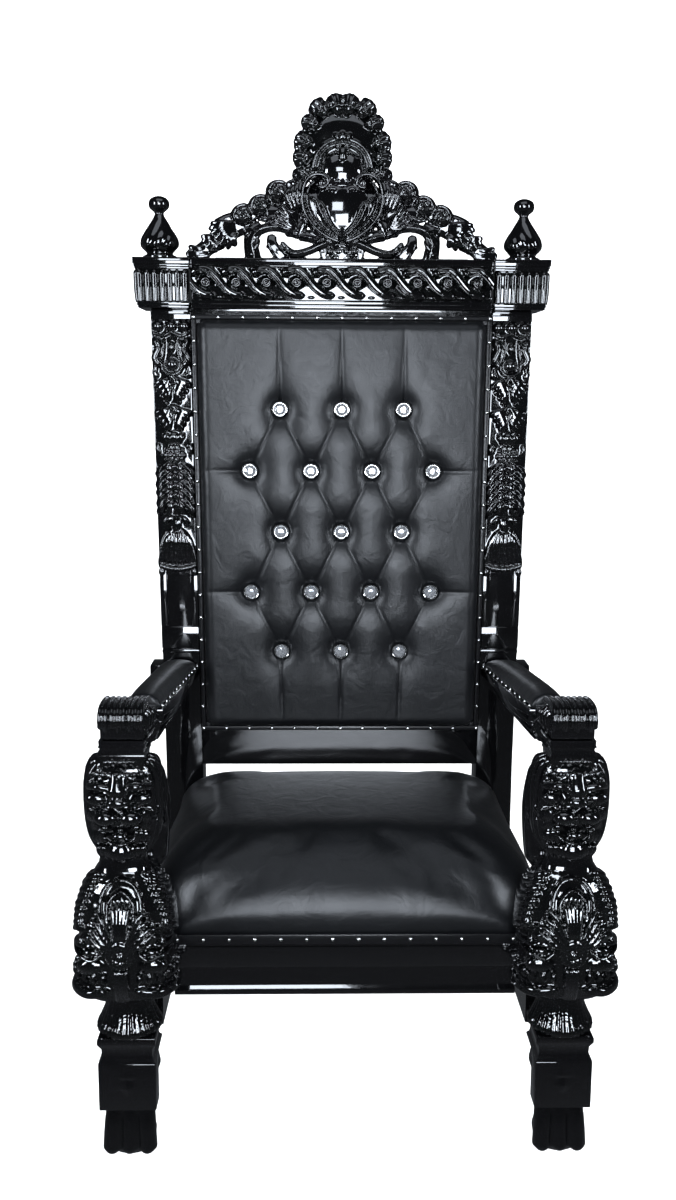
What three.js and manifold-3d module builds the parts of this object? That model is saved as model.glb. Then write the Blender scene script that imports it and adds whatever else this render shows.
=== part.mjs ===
// A high-backed throne of carved, lacquered hardwood with a deep-buttoned back, a crowned seat and
// padded arms. Each arm ends in a scroll over a lion's head, a rosette scroll and a paw foot.
// Millimetres, +Z up, the front of the throne faces -Y, and the origin lies on the floor under its middle.
import * as THREE from "three";
import { mergeVertices } from "three/addons/utils/BufferGeometryUtils.js";
import Module from "manifold-3d";

const wasm = await Module();
wasm.setup();

// ---------- driving dimensions ----------
const GAP = 0.3; // between pieces that touch
const HALF_DEPTH = 410; // the throne runs from -410 to 410 in Y

const SEAT = { railTop: 345, cushionTop: 504, frontY: -290, sideX: 345 };
const POST = { inner: 286, outer: 364, front: 225, back: 295, top: 1426, taper: 3 };
const BACK = { foot: 500, lean: 0.045, spread: 5.5e-5, panelLow: 571, panelHigh: 1426 };
const CAPITAL = { inner: 285, outer: 392, front: 197, back: 322, top: 1524 };
const LEG = { x: 362.5, y: -322.5, half: 47.5, top: 722 };
const ARM = { inner: 303, outer: 371, rearZ: 703, slope: 0.09, front: -270, rear: 283, taper: 14, end: 393 };
const BUTTON = { dx: 59.5, dz: 122.5, low: 740, y: 199, radius: 15 };

// ---------- materials ----------
const lacquer = new THREE.MeshStandardMaterial({ color: 0x08080a, roughness: 0.14, metalness: 0 });
const leather = new THREE.MeshStandardMaterial({ color: 0x15161a, roughness: 0.42, metalness: 0 });
const gimp = new THREE.MeshStandardMaterial({ color: 0x0b0b0d, roughness: 0.28, metalness: 0 });
const crystal = new THREE.MeshStandardMaterial({ color: 0xe8ecf2, roughness: 0.05, metalness: 0 });

// ---------- solids ----------
// A closed geometry as a solid: its shared vertices are merged and its collapsed faces dropped.
function solid(geometry) {
  const loose = geometry.index ? geometry.toNonIndexed() : geometry;
  const bare = new THREE.BufferGeometry();
  bare.setAttribute("position", loose.getAttribute("position").clone());
  const merged = mergeVertices(bare, 1e-3);
  const kept = [];
  const index = merged.index.array;
  for (let i = 0; i < index.length; i += 3) {
    const [a, b, c] = [index[i], index[i + 1], index[i + 2]];
    if (a !== b && b !== c && c !== a) kept.push(a, b, c);
  }
  return new wasm.Manifold(
    new wasm.Mesh({
      numProp: 3,
      vertProperties: merged.attributes.position.array,
      triVerts: new Uint32Array(kept),
    }),
  );
}

function joined(solids) {
  return solids.reduce((sum, next) => sum.add(next));
}

// Each vertex of a geometry, moved by a function of (x, y, z) that gives its new place.
function reshaped(geometry, place) {
  const p = geometry.getAttribute("position");
  for (let i = 0; i < p.count; i++) p.setXYZ(i, ...place(p.getX(i), p.getY(i), p.getZ(i)));
  return geometry;
}

function box(x0, x1, y0, y1, z0, z1) {
  const g = new THREE.BoxGeometry(x1 - x0, y1 - y0, z1 - z0);
  return solid(g.translate((x0 + x1) / 2, (y0 + y1) / 2, (z0 + z1) / 2));
}

// An ellipsoid, optionally turned about the front-to-back axis. Its corners lie a little outside the
// true ellipsoid and its faces a little inside.
function blob([x, y, z], [rx, ry, rz], turn = 0, sides = 6, rings = 4) {
  const k = 1 / Math.sqrt(Math.cos(Math.PI / sides));
  const g = new THREE.SphereGeometry(1, sides, rings, Math.PI / sides);
  g.scale(rx * k, rz, ry * k).rotateX(Math.PI / 2);
  return solid(g.rotateY(-turn).translate(x, y, z));
}

// A leaf, lock or scroll: a sphere drawn out along a curve through the points. Its half-width lies in
// the plane of the carving and its half-height stands out of it; both swell and taper along the curve.
function stroke(points, width, height, { sides = 4, rings = 3, blunt = 0.55, front = [0, -1, 0] } = {}) {
  const curve = new THREE.CatmullRomCurve3(points.map((p) => new THREE.Vector3(...p)));
  const out = new THREE.Vector3(...front);
  const g = new THREE.SphereGeometry(1, sides, rings);
  return solid(
    reshaped(g, (x, y, z) => {
      const t = Math.acos(THREE.MathUtils.clamp(y, -1, 1)) / Math.PI;
      const round = Math.hypot(x, z) || 1;
      const swell = Math.min(1, Math.sin(Math.PI * t) / blunt);
      const at = curve.getPoint(t);
      const along = curve.getTangent(t);
      const across = new THREE.Vector3().crossVectors(along, out).normalize();
      const up = new THREE.Vector3().crossVectors(across, along).normalize();
      const taper = Math.hypot(x, z) < 1e-6 ? 0 : swell;
      at.addScaledVector(across, -(x / round) * width * taper);
      at.addScaledVector(up, (z / round) * height * taper);
      return [at.x, at.y, at.z];
    }),
  );
}

// A turned piece: the profile is [radius, height] pairs from the axis round to the axis. With four
// sides it is a square moulding, and the radius is then half its width.
function turned(profile, sides, flute = () => 1) {
  const square = sides === 4;
  const points = profile.map(([r, z]) => new THREE.Vector2(square ? r * Math.SQRT2 : r, z));
  const g = new THREE.LatheGeometry(points, sides, square ? Math.PI / 4 : 0);
  g.rotateX(Math.PI / 2);
  reshaped(g, (x, y, z) => {
    const k = square ? 1 : flute(Math.atan2(y, x), z);
    return [x * k, y * k, z];
  });
  return facingOut(g);
}

// A lathe's faces point in or out with the direction of its profile.
function facingOut(geometry) {
  const made = solid(geometry);
  if (made.volume() > 0) return made;
  const p = (geometry.index ? geometry.toNonIndexed() : geometry).getAttribute("position");
  const flipped = new THREE.BufferGeometry().setAttribute("position", p.clone());
  for (let i = 0; i < p.count; i += 3) {
    flipped.attributes.position.setXYZ(i + 1, p.getX(i + 2), p.getY(i + 2), p.getZ(i + 2));
    flipped.attributes.position.setXYZ(i + 2, p.getX(i + 1), p.getY(i + 1), p.getZ(i + 1));
  }
  return solid(flipped);
}

// A side profile in (y, z), given the width from x0 to x1.
function sideProfile(shape, x0, x1, curveSegments = 6) {
  const g = new THREE.ExtrudeGeometry(shape, { depth: x1 - x0, bevelEnabled: false, curveSegments });
  return facingOut(reshaped(g, (y, z, x) => [x0 + x, y, z]));
}

// A front outline in (x, z), given the depth from y0 to y1.
function frontOutline(shape, y0, y1, curveSegments = 6) {
  const g = new THREE.ExtrudeGeometry(shape, { depth: y1 - y0, bevelEnabled: false, curveSegments });
  return facingOut(reshaped(g, (x, z, y) => [x, y0 + y, z]));
}

function outline(points) {
  return new THREE.Shape(points.map(([x, y]) => new THREE.Vector2(x, y)));
}

function mirrorX(body) {
  return body.mirror([1, 0, 0]);
}

function bothSides(body) {
  return [body, mirrorX(body)];
}

function geometryOf(body) {
  const m = body.getMesh();
  const g = new THREE.BufferGeometry();
  g.setAttribute("position", new THREE.BufferAttribute(m.vertProperties, 3));
  return g.setIndex(new THREE.BufferAttribute(m.triVerts, 1));
}

// The throne's back leans and widens a little with height above its foot.
function raked(body) {
  return solid(
    reshaped(geometryOf(body), (x, y, z) => {
      const rise = Math.max(0, z - BACK.foot);
      return [x * (1 + BACK.spread * rise), y + BACK.lean * rise, z];
    }),
  );
}

// ---------- the group ----------
const throne = new THREE.Group();

function add(name, body, material) {
  const mesh = new THREE.Mesh(geometryOf(body), material);
  mesh.name = name;
  throne.add(mesh);
}

// One piece for each side, mirrored: the model of it is the one on the right, at +X.
function addPair(name, body, material) {
  add(`${name}_right`, body, material);
  add(`${name}_left`, mirrorX(body), material);
}

// ---------- front legs: neck, lion's head, rosette scroll, bell, block and paw ----------
// Each is modelled round its own axis, with its front at -Y, and then moved to its place.
function pawFoot() {
  const toes = [-28, 0, 28].map((x) => stroke([[x * 0.78, -6, 94], [x, -24, 46], [x * 1.08, -32, -28]], 18, 18));
  const shank = turned([[0, 0], [37, 0], [41, 24], [31, 96], [50, 146], [38, 184], [44, 214], [0, 214]], 8);
  return joined([...toes, shank]).subtract(box(-90, 90, -90, 90, -60, 0));
}

// A square block with a raised lozenge on its face, under a hollow moulding.
function footBlock() {
  const h = LEG.half;
  const body = turned([[0, 86], [h, 86], [h, 170], [h - 6, 178], [h - 6, 194], [h, 204], [h, 214], [0, 214]], 4);
  const stud = solid(new THREE.CylinderGeometry(21, 31, 5, 4, 1).rotateX(Math.PI));
  const front = box(-90, 90, -90, -8, 80, 220);
  return body.intersect(front).add(stud.translate([0, -h - 2, 128]));
}

// The bell between the block and the scroll, folded into upright leaves.
function bell() {
  const folds = (a) => 1 + 0.06 * Math.cos(6 * a);
  return turned([[0, 213], [50, 213], [42, 236], [36, 290], [0, 290]], 12, folds);
}

// The body of the column: an egg for the head on a fuller, square-shouldered scroll.
function columnBody() {
  const deep = (a) => (Math.abs(Math.cos(a)) ** 3 + Math.abs(Math.sin(a) / 0.86) ** 3) ** (-1 / 3);
  const profile = [
    [0, 284], [68, 284], [76, 298], [78, 345], [73, 400], [58, 456], [46, 500], [57, 544], [63, 590], [64, 632],
    [54, 666], [36, 690], [0, 690],
  ];
  return turned(profile, 10, deep);
}

// The mane hangs behind the head's sides and spreads over the scroll's upper corners.
function maneLocks() {
  const inner = stroke([[-36, 26, 672], [-52, 22, 600], [-52, 18, 530], [-52, 4, 440]], 24, 20);
  const outer = stroke([[34, 22, 668], [45, 18, 604], [31, 10, 516], [48, 4, 440]], 19, 16);
  const spread = stroke([[24, -40, 458], [54, -42, 448], [72, -6, 418]], 18, 13);
  return [inner, outer, ...bothSides(spread)];
}

// The scroll's rolled edges either side of the flower, one above the other.
function cheeks() {
  const upper = stroke([[26, -58, 404], [60, -54, 400], [78, -14, 384]], 12, 14);
  const eye = blob([54, -48, 368], [26, 24, 17]);
  const lower = stroke([[22, -56, 316], [58, -54, 308], [77, -12, 310]], 21, 14);
  return [upper, eye, lower].flatMap(bothSides);
}

// The shell over the flower: an arched rim round a fluted leaf, and a leaf spread to each side.
function shell() {
  const arch = [[-27, -58, 430], [-24, -50, 466], [0, -44, 482], [24, -50, 466], [27, -58, 430]];
  const rim = stroke(arch, 5, 10, { blunt: 0.3, rings: 6 });
  const leaf = stroke([[0, -64, 400], [0, -64, 440], [0, -40, 476]], 16, 14);
  const spray = stroke([[6, -66, 394], [34, -66, 424], [52, -44, 430]], 12, 14);
  return [rim, leaf, ...bothSides(spray)];
}

function rosette() {
  const petals = turned([[0, -16], [24, -6], [20, 5], [0, 9]], 12, (a) => 1 + 0.12 * Math.cos(6 * a));
  return petals.rotate([90, 0, 0]).translate([0, -78, 362]);
}

function lionHead() {
  const arc = (a) => [45 * Math.sin(a), -50 + 16 * Math.sin(a) ** 2, 592 - 32 * Math.cos(a)];
  const single = [
    stroke([[0, -46, 680], [0, -62, 654], [0, -80, 628]], 18, 13),
    blob([0, -46, 544], [27, 22, 17]),
    stroke([-1.3, -0.65, 0, 0.65, 1.3].map(arc), 6, 14, { rings: 4, blunt: 0.3 }),
  ];
  const paired = [
    stroke([[8, -54, 652], [32, -58, 662], [58, -26, 644]], 8, 11),
    blob([38, -44, 629], [20, 14, 9], -0.08),
    blob([21, -60, 607], [22, 22, 15]),
  ];
  return [...single, ...paired.flatMap(bothSides)];
}

// Two rings and a hollow, square in plan.
function neck() {
  const rings = [[0, 672], [36, 672], [37, 690], [40, 696], [36, 702], [36, 708], [39, 714], [37, 722], [0, 722]];
  return turned(rings, 4).translate([-5, -8, 0]);
}

function frontLeg() {
  const carving = [...maneLocks(), ...cheeks(), ...shell(), rosette(), ...lionHead()];
  const leg = joined([pawFoot(), footBlock(), bell(), columnBody(), neck(), ...carving]);
  // The back of the leg is sawn flat where the side rail meets it, and its top is cut to carry the arm.
  const sawn = box(-100, 100, LEG.half, 120, 0, 760);
  const armSeat = box(-70, 70, ARM.front - LEG.y - GAP, 80, 672, 760);
  return leg.subtract(sawn).subtract(armSeat).translate([LEG.x, LEG.y, 0]);
}

addPair("front_leg", frontLeg(), lacquer);

// ---------- arms ----------
function armTop(y) {
  return ARM.rearZ - ARM.slope * (y - POST.front);
}

// The underside rises less steeply towards the front than the top does.
function armBottom(y) {
  return armTop(y) - 34 - 0.036 * (POST.front - y);
}

// The rail under the pad: a fascia over two set-back steps, with its end lapped round the post.
function armRail() {
  const slab = (inset, from, to) => {
    const level = (y, share) => THREE.MathUtils.lerp(armTop(y), armBottom(y), share);
    const [y0, y1] = [ARM.front, ARM.rear];
    const side = outline([[y0, level(y0, from)], [y1, level(y1, from)], [y1, level(y1, to)], [y0, level(y0, to)]]);
    return sideProfile(side, ARM.inner + inset, ARM.outer - inset);
  };
  const rail = joined([slab(0, 0, 0.4), slab(4, 0.35, 0.75), slab(9, 0.7, 1)]);
  // The inner side closes in towards the post.
  const drawn = solid(
    reshaped(geometryOf(rail), (x, y, z) => {
      const back = (y - ARM.front) / (ARM.rear - ARM.front);
      return [x - (ARM.taper * back * (ARM.outer - x)) / (ARM.outer - ARM.inner), y, z];
    }),
  );
  const post = box(0, POST.outer * 1.02, POST.front - GAP, 400, 600, 800);
  const lap = box(ARM.outer - 20, ARM.end, POST.front - 2, ARM.rear, armBottom(ARM.rear), armTop(ARM.rear));
  return drawn.add(lap).subtract(post);
}

// The scrolled front end: a square head whose rounded top is cut into ribs like a rolled leaf.
function armScroll() {
  const y0 = LEG.y - LEG.half;
  const base = LEG.top + GAP;
  const head = new THREE.Shape();
  head.moveTo(y0, base);
  head.lineTo(y0 - 2, base + 24);
  head.quadraticCurveTo(y0 - 3, base + 46, y0 + 20, base + 47);
  head.lineTo(ARM.front, base + 40);
  head.lineTo(ARM.front, base);
  // Its inner side spreads towards the back, to meet the rail.
  const body = solid(
    reshaped(geometryOf(sideProfile(head, LEG.x - 42, LEG.x + 28, 5)), (x, y, z) =>
      [x < LEG.x ? x - 0.19 * (y - y0 - 3) : x, y, z],
    ),
  );
  const ribs = [];
  const count = 5;
  for (let i = 0; i < count; i++) {
    const x = LEG.x - 37 + (60 * i) / (count - 1);
    const over = [[x, y0 - 2, base + 26], [x, y0 + 3, base + 44], [x, ARM.front - 16, base + 45]];
    ribs.push(stroke(over, 6.5, 7, { front: [0, -0.6, 0.8], blunt: 0.35, sides: 4 }));
  }
  return joined([body, ...ribs]).subtract(box(200, 500, -500, -200, 600, base));
}

// The pad follows the rail and rounds down to the post at the back.
function armPad() {
  const [y0, y1] = [ARM.front + 2, POST.front - 1];
  const g = new THREE.BoxGeometry(2, y1 - y0, 1, 6, 3, 1).translate(0, (y0 + y1) / 2, 0);
  return solid(
    reshaped(g, (x, y, z) => {
      const back = (y - y0) / (y1 - y0);
      const inner = ARM.inner + 3 - (ARM.taper - 2) * back;
      const outer = ARM.outer - 3;
      const crown = (27 - 7 * back) * Math.sqrt(Math.max(0, 1 - x * x)) * (1 - 0.45 * back ** 8);
      const low = armTop(y) + GAP;
      return [(inner + outer) / 2 + (x * (outer - inner)) / 2, y, z < 0 ? low : low + 5 + crown];
    }),
  );
}

addPair("arm", joined([armRail(), armScroll()]), lacquer);
addPair("arm_pad", armPad(), leather);

// ---------- seat ----------
// A rail seen end on: a fascia with a bead on its upper edge over a set-back stepped moulding.
function railSection(face, back, low, high) {
  const into = Math.sign(back - face);
  const step = low + (high - low) * 0.55;
  return outline([
    [face, high], [back, high], [back, low], [face + 8 * into, low], [face + 6 * into, low + 10],
    [face + 10 * into, low + 16], [face + 10 * into, step - 8], [face + 4 * into, step], [face, step],
  ]);
}

function frontRail() {
  const half = LEG.x - 71;
  return sideProfile(railSection(SEAT.frontY, SEAT.frontY + 28, 247, SEAT.railTop), -half, half);
}

function sideRail() {
  const g = frontOutline(railSection(SEAT.sideX, SEAT.sideX - 32, 188, SEAT.railTop), LEG.y + LEG.half + GAP, POST.front - GAP);
  return g;
}

add("front_rail", frontRail(), lacquer);
addPair("side_rail", sideRail(), lacquer);
add("rear_rail", box(-POST.inner + GAP, POST.inner - GAP, 240, 272, 270, SEAT.railTop), lacquer);
add("seat_board", box(-312.7, 312.7, -261.7, POST.front - GAP, 326, SEAT.railTop), lacquer);

// The cushion is crowned over the frame and notched round the front legs and the posts.
function seatCushion() {
  const [y0, y1] = [SEAT.frontY + GAP, 232];
  const low = SEAT.railTop + GAP;
  const half = 342;
  const g = new THREE.BoxGeometry(2 * half, y1 - y0, 1, 10, 8, 1);
  g.translate(0, (y0 + y1) / 2, 0.5);
  const body = solid(
    reshaped(g, (x, y, z) => {
      const u = Math.abs(x) / half;
      const v = THREE.MathUtils.clamp((y - y0) / (y1 - y0), 0, 1);
      const front = Math.min(1, Math.sin(Math.min(1, v / 0.2) * (Math.PI / 2)) ** 0.6 + 0.34);
      const rear = Math.min(1, Math.sin(Math.min(1, (1 - v) / 0.13) * (Math.PI / 2)) ** 0.7 + 0.3);
      const side = Math.pow(Math.max(0, 1 - u ** 9), 0.5) * 0.6 + 0.4;
      const rise = (SEAT.cushionTop - low) * front * rear * side * (1 - 0.06 * u * u);
      return [x, y, z < 0.5 ? low - 5 : low + Math.max(14, rise)];
    }),
  ).subtract(box(-400, 400, -400, 400, 300, low));
  const leg = box(LEG.x - 76, 500, -500, LEG.y + LEG.half + 2, 300, 600);
  const post = box(POST.inner - 1, 500, POST.front - 1, 400, 300, 600);
  return [leg, post].flatMap(bothSides).reduce((rest, cut) => rest.subtract(cut), body);
}

add("seat_cushion", seatCushion(), leather);
add("seat_trim_front", box(-286, 286, SEAT.frontY - 6, SEAT.frontY, SEAT.railTop - 2, 362), gimp);
addPair("seat_trim", box(SEAT.sideX + GAP, SEAT.sideX + 6, LEG.y + LEG.half + 3, POST.front - 3, SEAT.railTop - 2, 362), gimp);

// ---------- back posts and rear legs ----------
function postShape() {
  const s = new THREE.Shape();
  s.moveTo(POST.front, POST.top);
  s.lineTo(POST.front, 330);
  s.quadraticCurveTo(POST.front + 6, 150, 336, 0);
  s.lineTo(HALF_DEPTH, 0);
  s.quadraticCurveTo(POST.back + 14, 190, POST.back, 380);
  s.lineTo(POST.back, POST.top);
  s.closePath();
  return s;
}

// The drop of leaves down the face of each post, from the collar down.
function postCarving() {
  const cx = (POST.inner + POST.outer) / 2;
  const at = (dx, z) => [cx + dx, POST.front, z];
  const paired = [
    [[[33, 1366], [31, 1334], [12, 1300]], 8, 9],
    [[[4, 1294], [24, 1278], [31, 1236]], 13, 12],
    [[[4, 1234], [24, 1214], [30, 1170]], 14, 12],
    [[[12, 1160], [30, 1104], [14, 1044]], 12, 12],
    [[[4, 1016], [26, 976], [28, 932]], 8, 8],
  ];
  const leaves = paired.flatMap(([points, width, height]) =>
    [-1, 1].map((side) => stroke(points.map(([dx, z]) => at(side * dx, z)), width, height)),
  );
  const studs = [
    blob(at(0, 1381), [30, 9, 11]), blob(at(0, 1302), [15, 9, 15]),
    blob(at(0, 1128), [19, 13, 19]), blob(at(0, 1030), [13, 11, 16]),
  ];
  return [...leaves, ...studs, stroke([at(0, 1026), at(0, 980), at(0, 924)], 19, 12)];
}

function backPost() {
  // It narrows a little towards the foot, on its outer side.
  const body = solid(
    reshaped(geometryOf(sideProfile(postShape(), POST.inner, POST.outer, 5)), (x, y, z) => [
      x - (x > POST.inner + 1 ? POST.taper * (1 - z / POST.top) : 0), y, z,
    ]),
  );
  const fielding = box(POST.inner + 17, POST.outer - 15, POST.front - 5, POST.front + 5, 792, 908);
  const bead = box(POST.inner, POST.outer, POST.front - 3, POST.front + 5, 737, 742);
  const carving = joined([...postCarving(), bead]).intersect(
    box(POST.inner + 1, POST.outer - POST.taper, POST.front - 40, POST.front + 20, 700, POST.top),
  );
  return raked(joined([body.subtract(fielding), carving]));
}

addPair("back_post", backPost(), lacquer);

// ---------- capitals, finials, top rail and crest ----------
// The capital: plain courses above and below a shaft with upright flutes on its front and outer side.
function capital() {
  const [x0, x1, y0, y1] = [CAPITAL.inner + GAP, CAPITAL.outer, CAPITAL.front, CAPITAL.back];
  const course = (inset, a, b) => box(x0 + Math.max(0, inset - 3), x1 - inset, y0 + inset, y1 - inset, a, b);
  const [left, right, near, far] = [x0 + 4, x1 - 3.5, y0 + 5, y1 - 5];
  const [across, along] = [(right - left) / 8, (far - near) / 6];
  const plan = [[left, far]];
  for (let i = 0; i < 8; i++) {
    const x = left + across * i;
    plan.push([x, near + 6], [x + across * 0.5, near]);
  }
  plan.push([right - 6, near + 6]);
  for (let i = 0; i < 6; i++) plan.push([right, near + along * (i + 0.5)], [right - 6, near + along * (i + 1)]);
  const shaft = solid(new THREE.ExtrudeGeometry(outline(plan), { depth: 64, bevelEnabled: false }));
  return raked(joined([
    course(7, POST.top + GAP, 1441), shaft.translate([0, 0, 1439]), course(2, 1501, 1512), course(0, 1510, CAPITAL.top),
  ]));
}

function finial() {
  const twist = (a, z) => 1 + 0.06 * Math.cos(5 * (a + (z - 30) * 0.012)) * (z > 10 && z < 84 ? 1 : 0);
  const profile = [
    [0, 0], [33, 0], [32, 6], [24, 11], [34, 24], [37, 38], [32, 54], [14, 80], [9, 94], [19, 102], [20, 110],
    [13, 120], [0, 123],
  ];
  const rise = CAPITAL.top - BACK.foot;
  return turned(profile, 10, twist).translate([
    342 * (1 + BACK.spread * rise), 260 + BACK.lean * rise, CAPITAL.top + GAP,
  ]);
}

// The top rail: a ledge, a running guilloche of buttons between slanting ribbons, and a fillet.
function topRail() {
  const half = CAPITAL.inner - GAP;
  const y = 212;
  const parts = [
    box(-half, half, y + 6, 290, POST.top + 2, CAPITAL.top),
    box(-half, half, y - 6, 290, 1509, CAPITAL.top),
    box(-half, half, y - 4, 290, POST.top + GAP, 1444),
  ];
  const pitch = 55;
  for (let i = 0; i < 11; i++) {
    const x = (i - 5) * pitch;
    const bend = [[x - 38, y + 4, 1504], [x - 14, y + 2, 1496], [x + 14, y + 2, 1458], [x + 38, y + 4, 1450]];
    parts.push(stroke(bend, 7, 9));
    if (i < 10) parts.push(blob([x + pitch / 2, y + 4, 1477], [10, 8, 10], 0, 6, 3));
  }
  return raked(joined(parts).intersect(box(-half, half, 100, 300, POST.top + GAP, CAPITAL.top)));
}

const CREST = { y: 245, base: 1524 + GAP };

function crestAt(u, w, dy = 0) {
  return [u, CREST.y + dy, CREST.base + w];
}

// The crest's crown: a dished plate ringed with shell lobes, with a hooded dome in its foot.
function crestCrown() {
  const plate = new THREE.Shape();
  plate.absellipse(0, 212, 74, 90, 0, 2 * Math.PI);
  const parts = [frontOutline(plate, -8, 12, 6).translate([0, CREST.y, CREST.base])];
  for (let i = 0; i < 6; i++) {
    const a = THREE.MathUtils.degToRad(78 - 21 * i);
    const [c, s] = [Math.cos(a), Math.sin(a)];
    parts.push(...bothSides(blob(crestAt(74 * c, 209 + 88 * s, 0), [20, 17, 18], a, 5, 3)));
  }
  const hood = [[-52, 150], [-42, 196], [0, 216], [42, 196], [52, 150]].map(([u, w]) => crestAt(u, w, -6));
  parts.push(stroke(hood, 7, 12, { rings: 7, blunt: 0.3 }), blob(crestAt(0, 176, -4), [36, 16, 32], 0, 8, 4));
  return parts;
}

// The heart: a smooth swelling boss inside a rim that scrolls inwards at the top.
function crestHeart() {
  const shape = outline([[0, 22], [38, 48], [74, 96], [76, 134], [56, 160], [-56, 160], [-76, 134], [-74, 96], [-38, 48]]);
  const back = frontOutline(shape, -8, 12).translate([0, CREST.y, CREST.base]);
  const boss = blob(crestAt(0, 94, -4), [52, 20, 48], 0, 8, 4);
  const edge = [[2, 24], [40, 54], [74, 106], [56, 144], [36, 134]].map(([u, w]) => crestAt(u, w, -6));
  const rim = stroke(edge, 8, 15, { rings: 6, blunt: 0.3 });
  return [back, boss, ...bothSides(rim)];
}

// Each wing steps down from the heart in rolled lobes to a ribbed fan, over a pierced arch.
function crestWing() {
  const parts = [];
  const curve = (points, dy, ...rest) => parts.push(stroke(points.map(([u, w]) => crestAt(u, w, dy)), ...rest));
  curve([[52, 24], [88, 70], [92, 130], [72, 176]], -2, 22, 16);
  for (const [u, w, r] of [[104, 138, 19], [130, 116, 22], [158, 95, 21], [188, 74, 22]]) {
    parts.push(blob(crestAt(u, w, -2), [r, 18, r], 0, 5, 3));
  }
  curve([[70, 34], [128, 84], [206, 66]], 0, 26, 13);
  for (let i = 0; i < 3; i++) {
    const a = THREE.MathUtils.degToRad(-8 - 28 * i);
    const [c, s] = [Math.cos(a), Math.sin(a)];
    curve([[190, 74], [222 + 6 * (c - 1), 76 + 40 * s], [198 + 62 * c, 70 + 60 * s]], -2, 12, 13);
  }
  curve([[226, 52], [252, 26], [289, 8]], -2, 16, 12);
  curve([[80, 44], [124, 64], [164, 57], [183, 28], [168, -14]], -3, 15, 14, { rings: 6, blunt: 0.4 });
  curve([[12, 30], [58, 22], [94, 12], [122, 28]], -3, 15, 12, { rings: 5 });
  curve([[154, -10], [142, 22], [128, 50]], -3, 11, 10);
  return parts;
}

// The pierced wings are joined to the crown along the foot of the crest.
function crest() {
  const foot = blob(crestAt(0, 8), [40, 15, 24], 0, 6, 3);
  const sole = box(-240, 240, CREST.y - 8, CREST.y + 8, CREST.base, CREST.base + 4);
  const right = joined(crestWing());
  const whole = joined([right, mirrorX(right), ...crestHeart(), ...crestCrown(), foot, sole]);
  return raked(whole.subtract(box(-400, 400, 0, 500, 1300, CREST.base)));
}

addPair("capital", capital(), lacquer);
addPair("finial", finial(), lacquer);
add("top_rail", topRail(), lacquer);
add("crest", crest(), lacquer);

// ---------- the upholstered back ----------
const BACK_FACE = 231.7; // the upholstery's back, just clear of the board behind it
const PAD = { half: 276, low: 581, high: 1405, edgeY: 214, crownY: 187 };

// The buttons stand in five rows of three and four by turns.
function buttonPlaces() {
  const places = [];
  for (let row = 0; row < 5; row++) {
    const count = row % 2 ? 4 : 3;
    for (let i = 0; i < count; i++) {
      places.push([(2 * i - count + 1) * BUTTON.dx, BUTTON.low + row * BUTTON.dz, row + 1, i + 1]);
    }
  }
  return places;
}

// A crowned pad, drawn in at every button and along the pleats that join them.
function backPad() {
  const columns = 2 * PAD.half / 10;
  const g = new THREE.BoxGeometry(2 * PAD.half, 1, PAD.high - PAD.low, 10, 1, 12);
  g.translate(0, 0.5, (PAD.low + PAD.high) / 2);
  return raked(solid(
    reshaped(g, (x, y, z) => {
      const row = Math.round((z - PAD.low) / ((PAD.high - PAD.low) / 12));
      const level = [PAD.low, 640, 700, 740, 801, 862.5, 924, 985, 1046, 1107.5, 1169, 1230, PAD.high][row];
      const column = Math.round((x + PAD.half) / columns);
      const across = [-PAD.half, -238, -178.5, -119, -59.5, 0, 59.5, 119, 178.5, 238, PAD.half][column];
      if (y > 0.5) return [across, 236, level];
      const edge = column === 0 || column === 10 || row === 0 || row === 12;
      const button = buttonPlaces().some(([bx, bz]) => Math.abs(bx - across) < 2 && Math.abs(bz - level) < 2);
      return [across, edge ? PAD.edgeY : button ? PAD.crownY + 18 : PAD.crownY, level];
    }),
  ).subtract(box(-400, 400, BACK_FACE, 300, 500, 1500)));
}

function backTrim() {
  const outer = POST.inner - GAP;
  const ring = outline([[-outer, BACK.panelLow + GAP], [outer, BACK.panelLow + GAP], [outer, 1414], [-outer, 1414]]);
  const [half, low, high] = [PAD.half + GAP, PAD.low - GAP, PAD.high + GAP];
  ring.holes.push(new THREE.Path([[-half, low], [-half, high], [half, high], [half, low]].map(([x, z]) => new THREE.Vector2(x, z))));
  return raked(frontOutline(ring, 211, BACK_FACE));
}

function buttonGem([x, z]) {
  const cut = turned([[0, 0], [BUTTON.radius, 0], [BUTTON.radius * 0.7, 6], [0, 6]], 5);
  return raked(cut.rotate([90, 0, 0]).translate([x, BUTTON.y - 2, z]));
}

add("back_board", raked(box(-POST.inner + GAP, POST.inner - GAP, 232, 284, BACK.panelLow + GAP, BACK.panelHigh)), lacquer);
add("bottom_rail", raked(box(-POST.inner + GAP, POST.inner - GAP, 228, 290, 495, BACK.panelLow)), lacquer);
add("back_pad", backPad(), leather);
add("back_trim", backTrim(), gimp);
for (const [x, z, row, place] of buttonPlaces()) add(`button_${row}_${place}`, buttonGem([x, z]), crystal);

export default throne;
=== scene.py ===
# %% [markdown]
# # A carved and lacquered lion throne
#
# The real throne is a tall armchair of carved mahogany, sprayed with black polyurethane lacquer and
# rubbed to a deep gloss. Its back and seat are upholstered in black faux leather, the back is buttoned
# with cut crystal, and each arm ends over a lion's head, a rosette scroll and a paw.
#
# The frame of solids comes first. Everything after it is drawn round those solids in millimetres,
# because a carver thinks in millimetres, and each finished piece is scaled to metres once, at the end.

# %% The frame
import math

import bmesh
import bpy
from mathutils import Euler, Matrix, Vector


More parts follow.
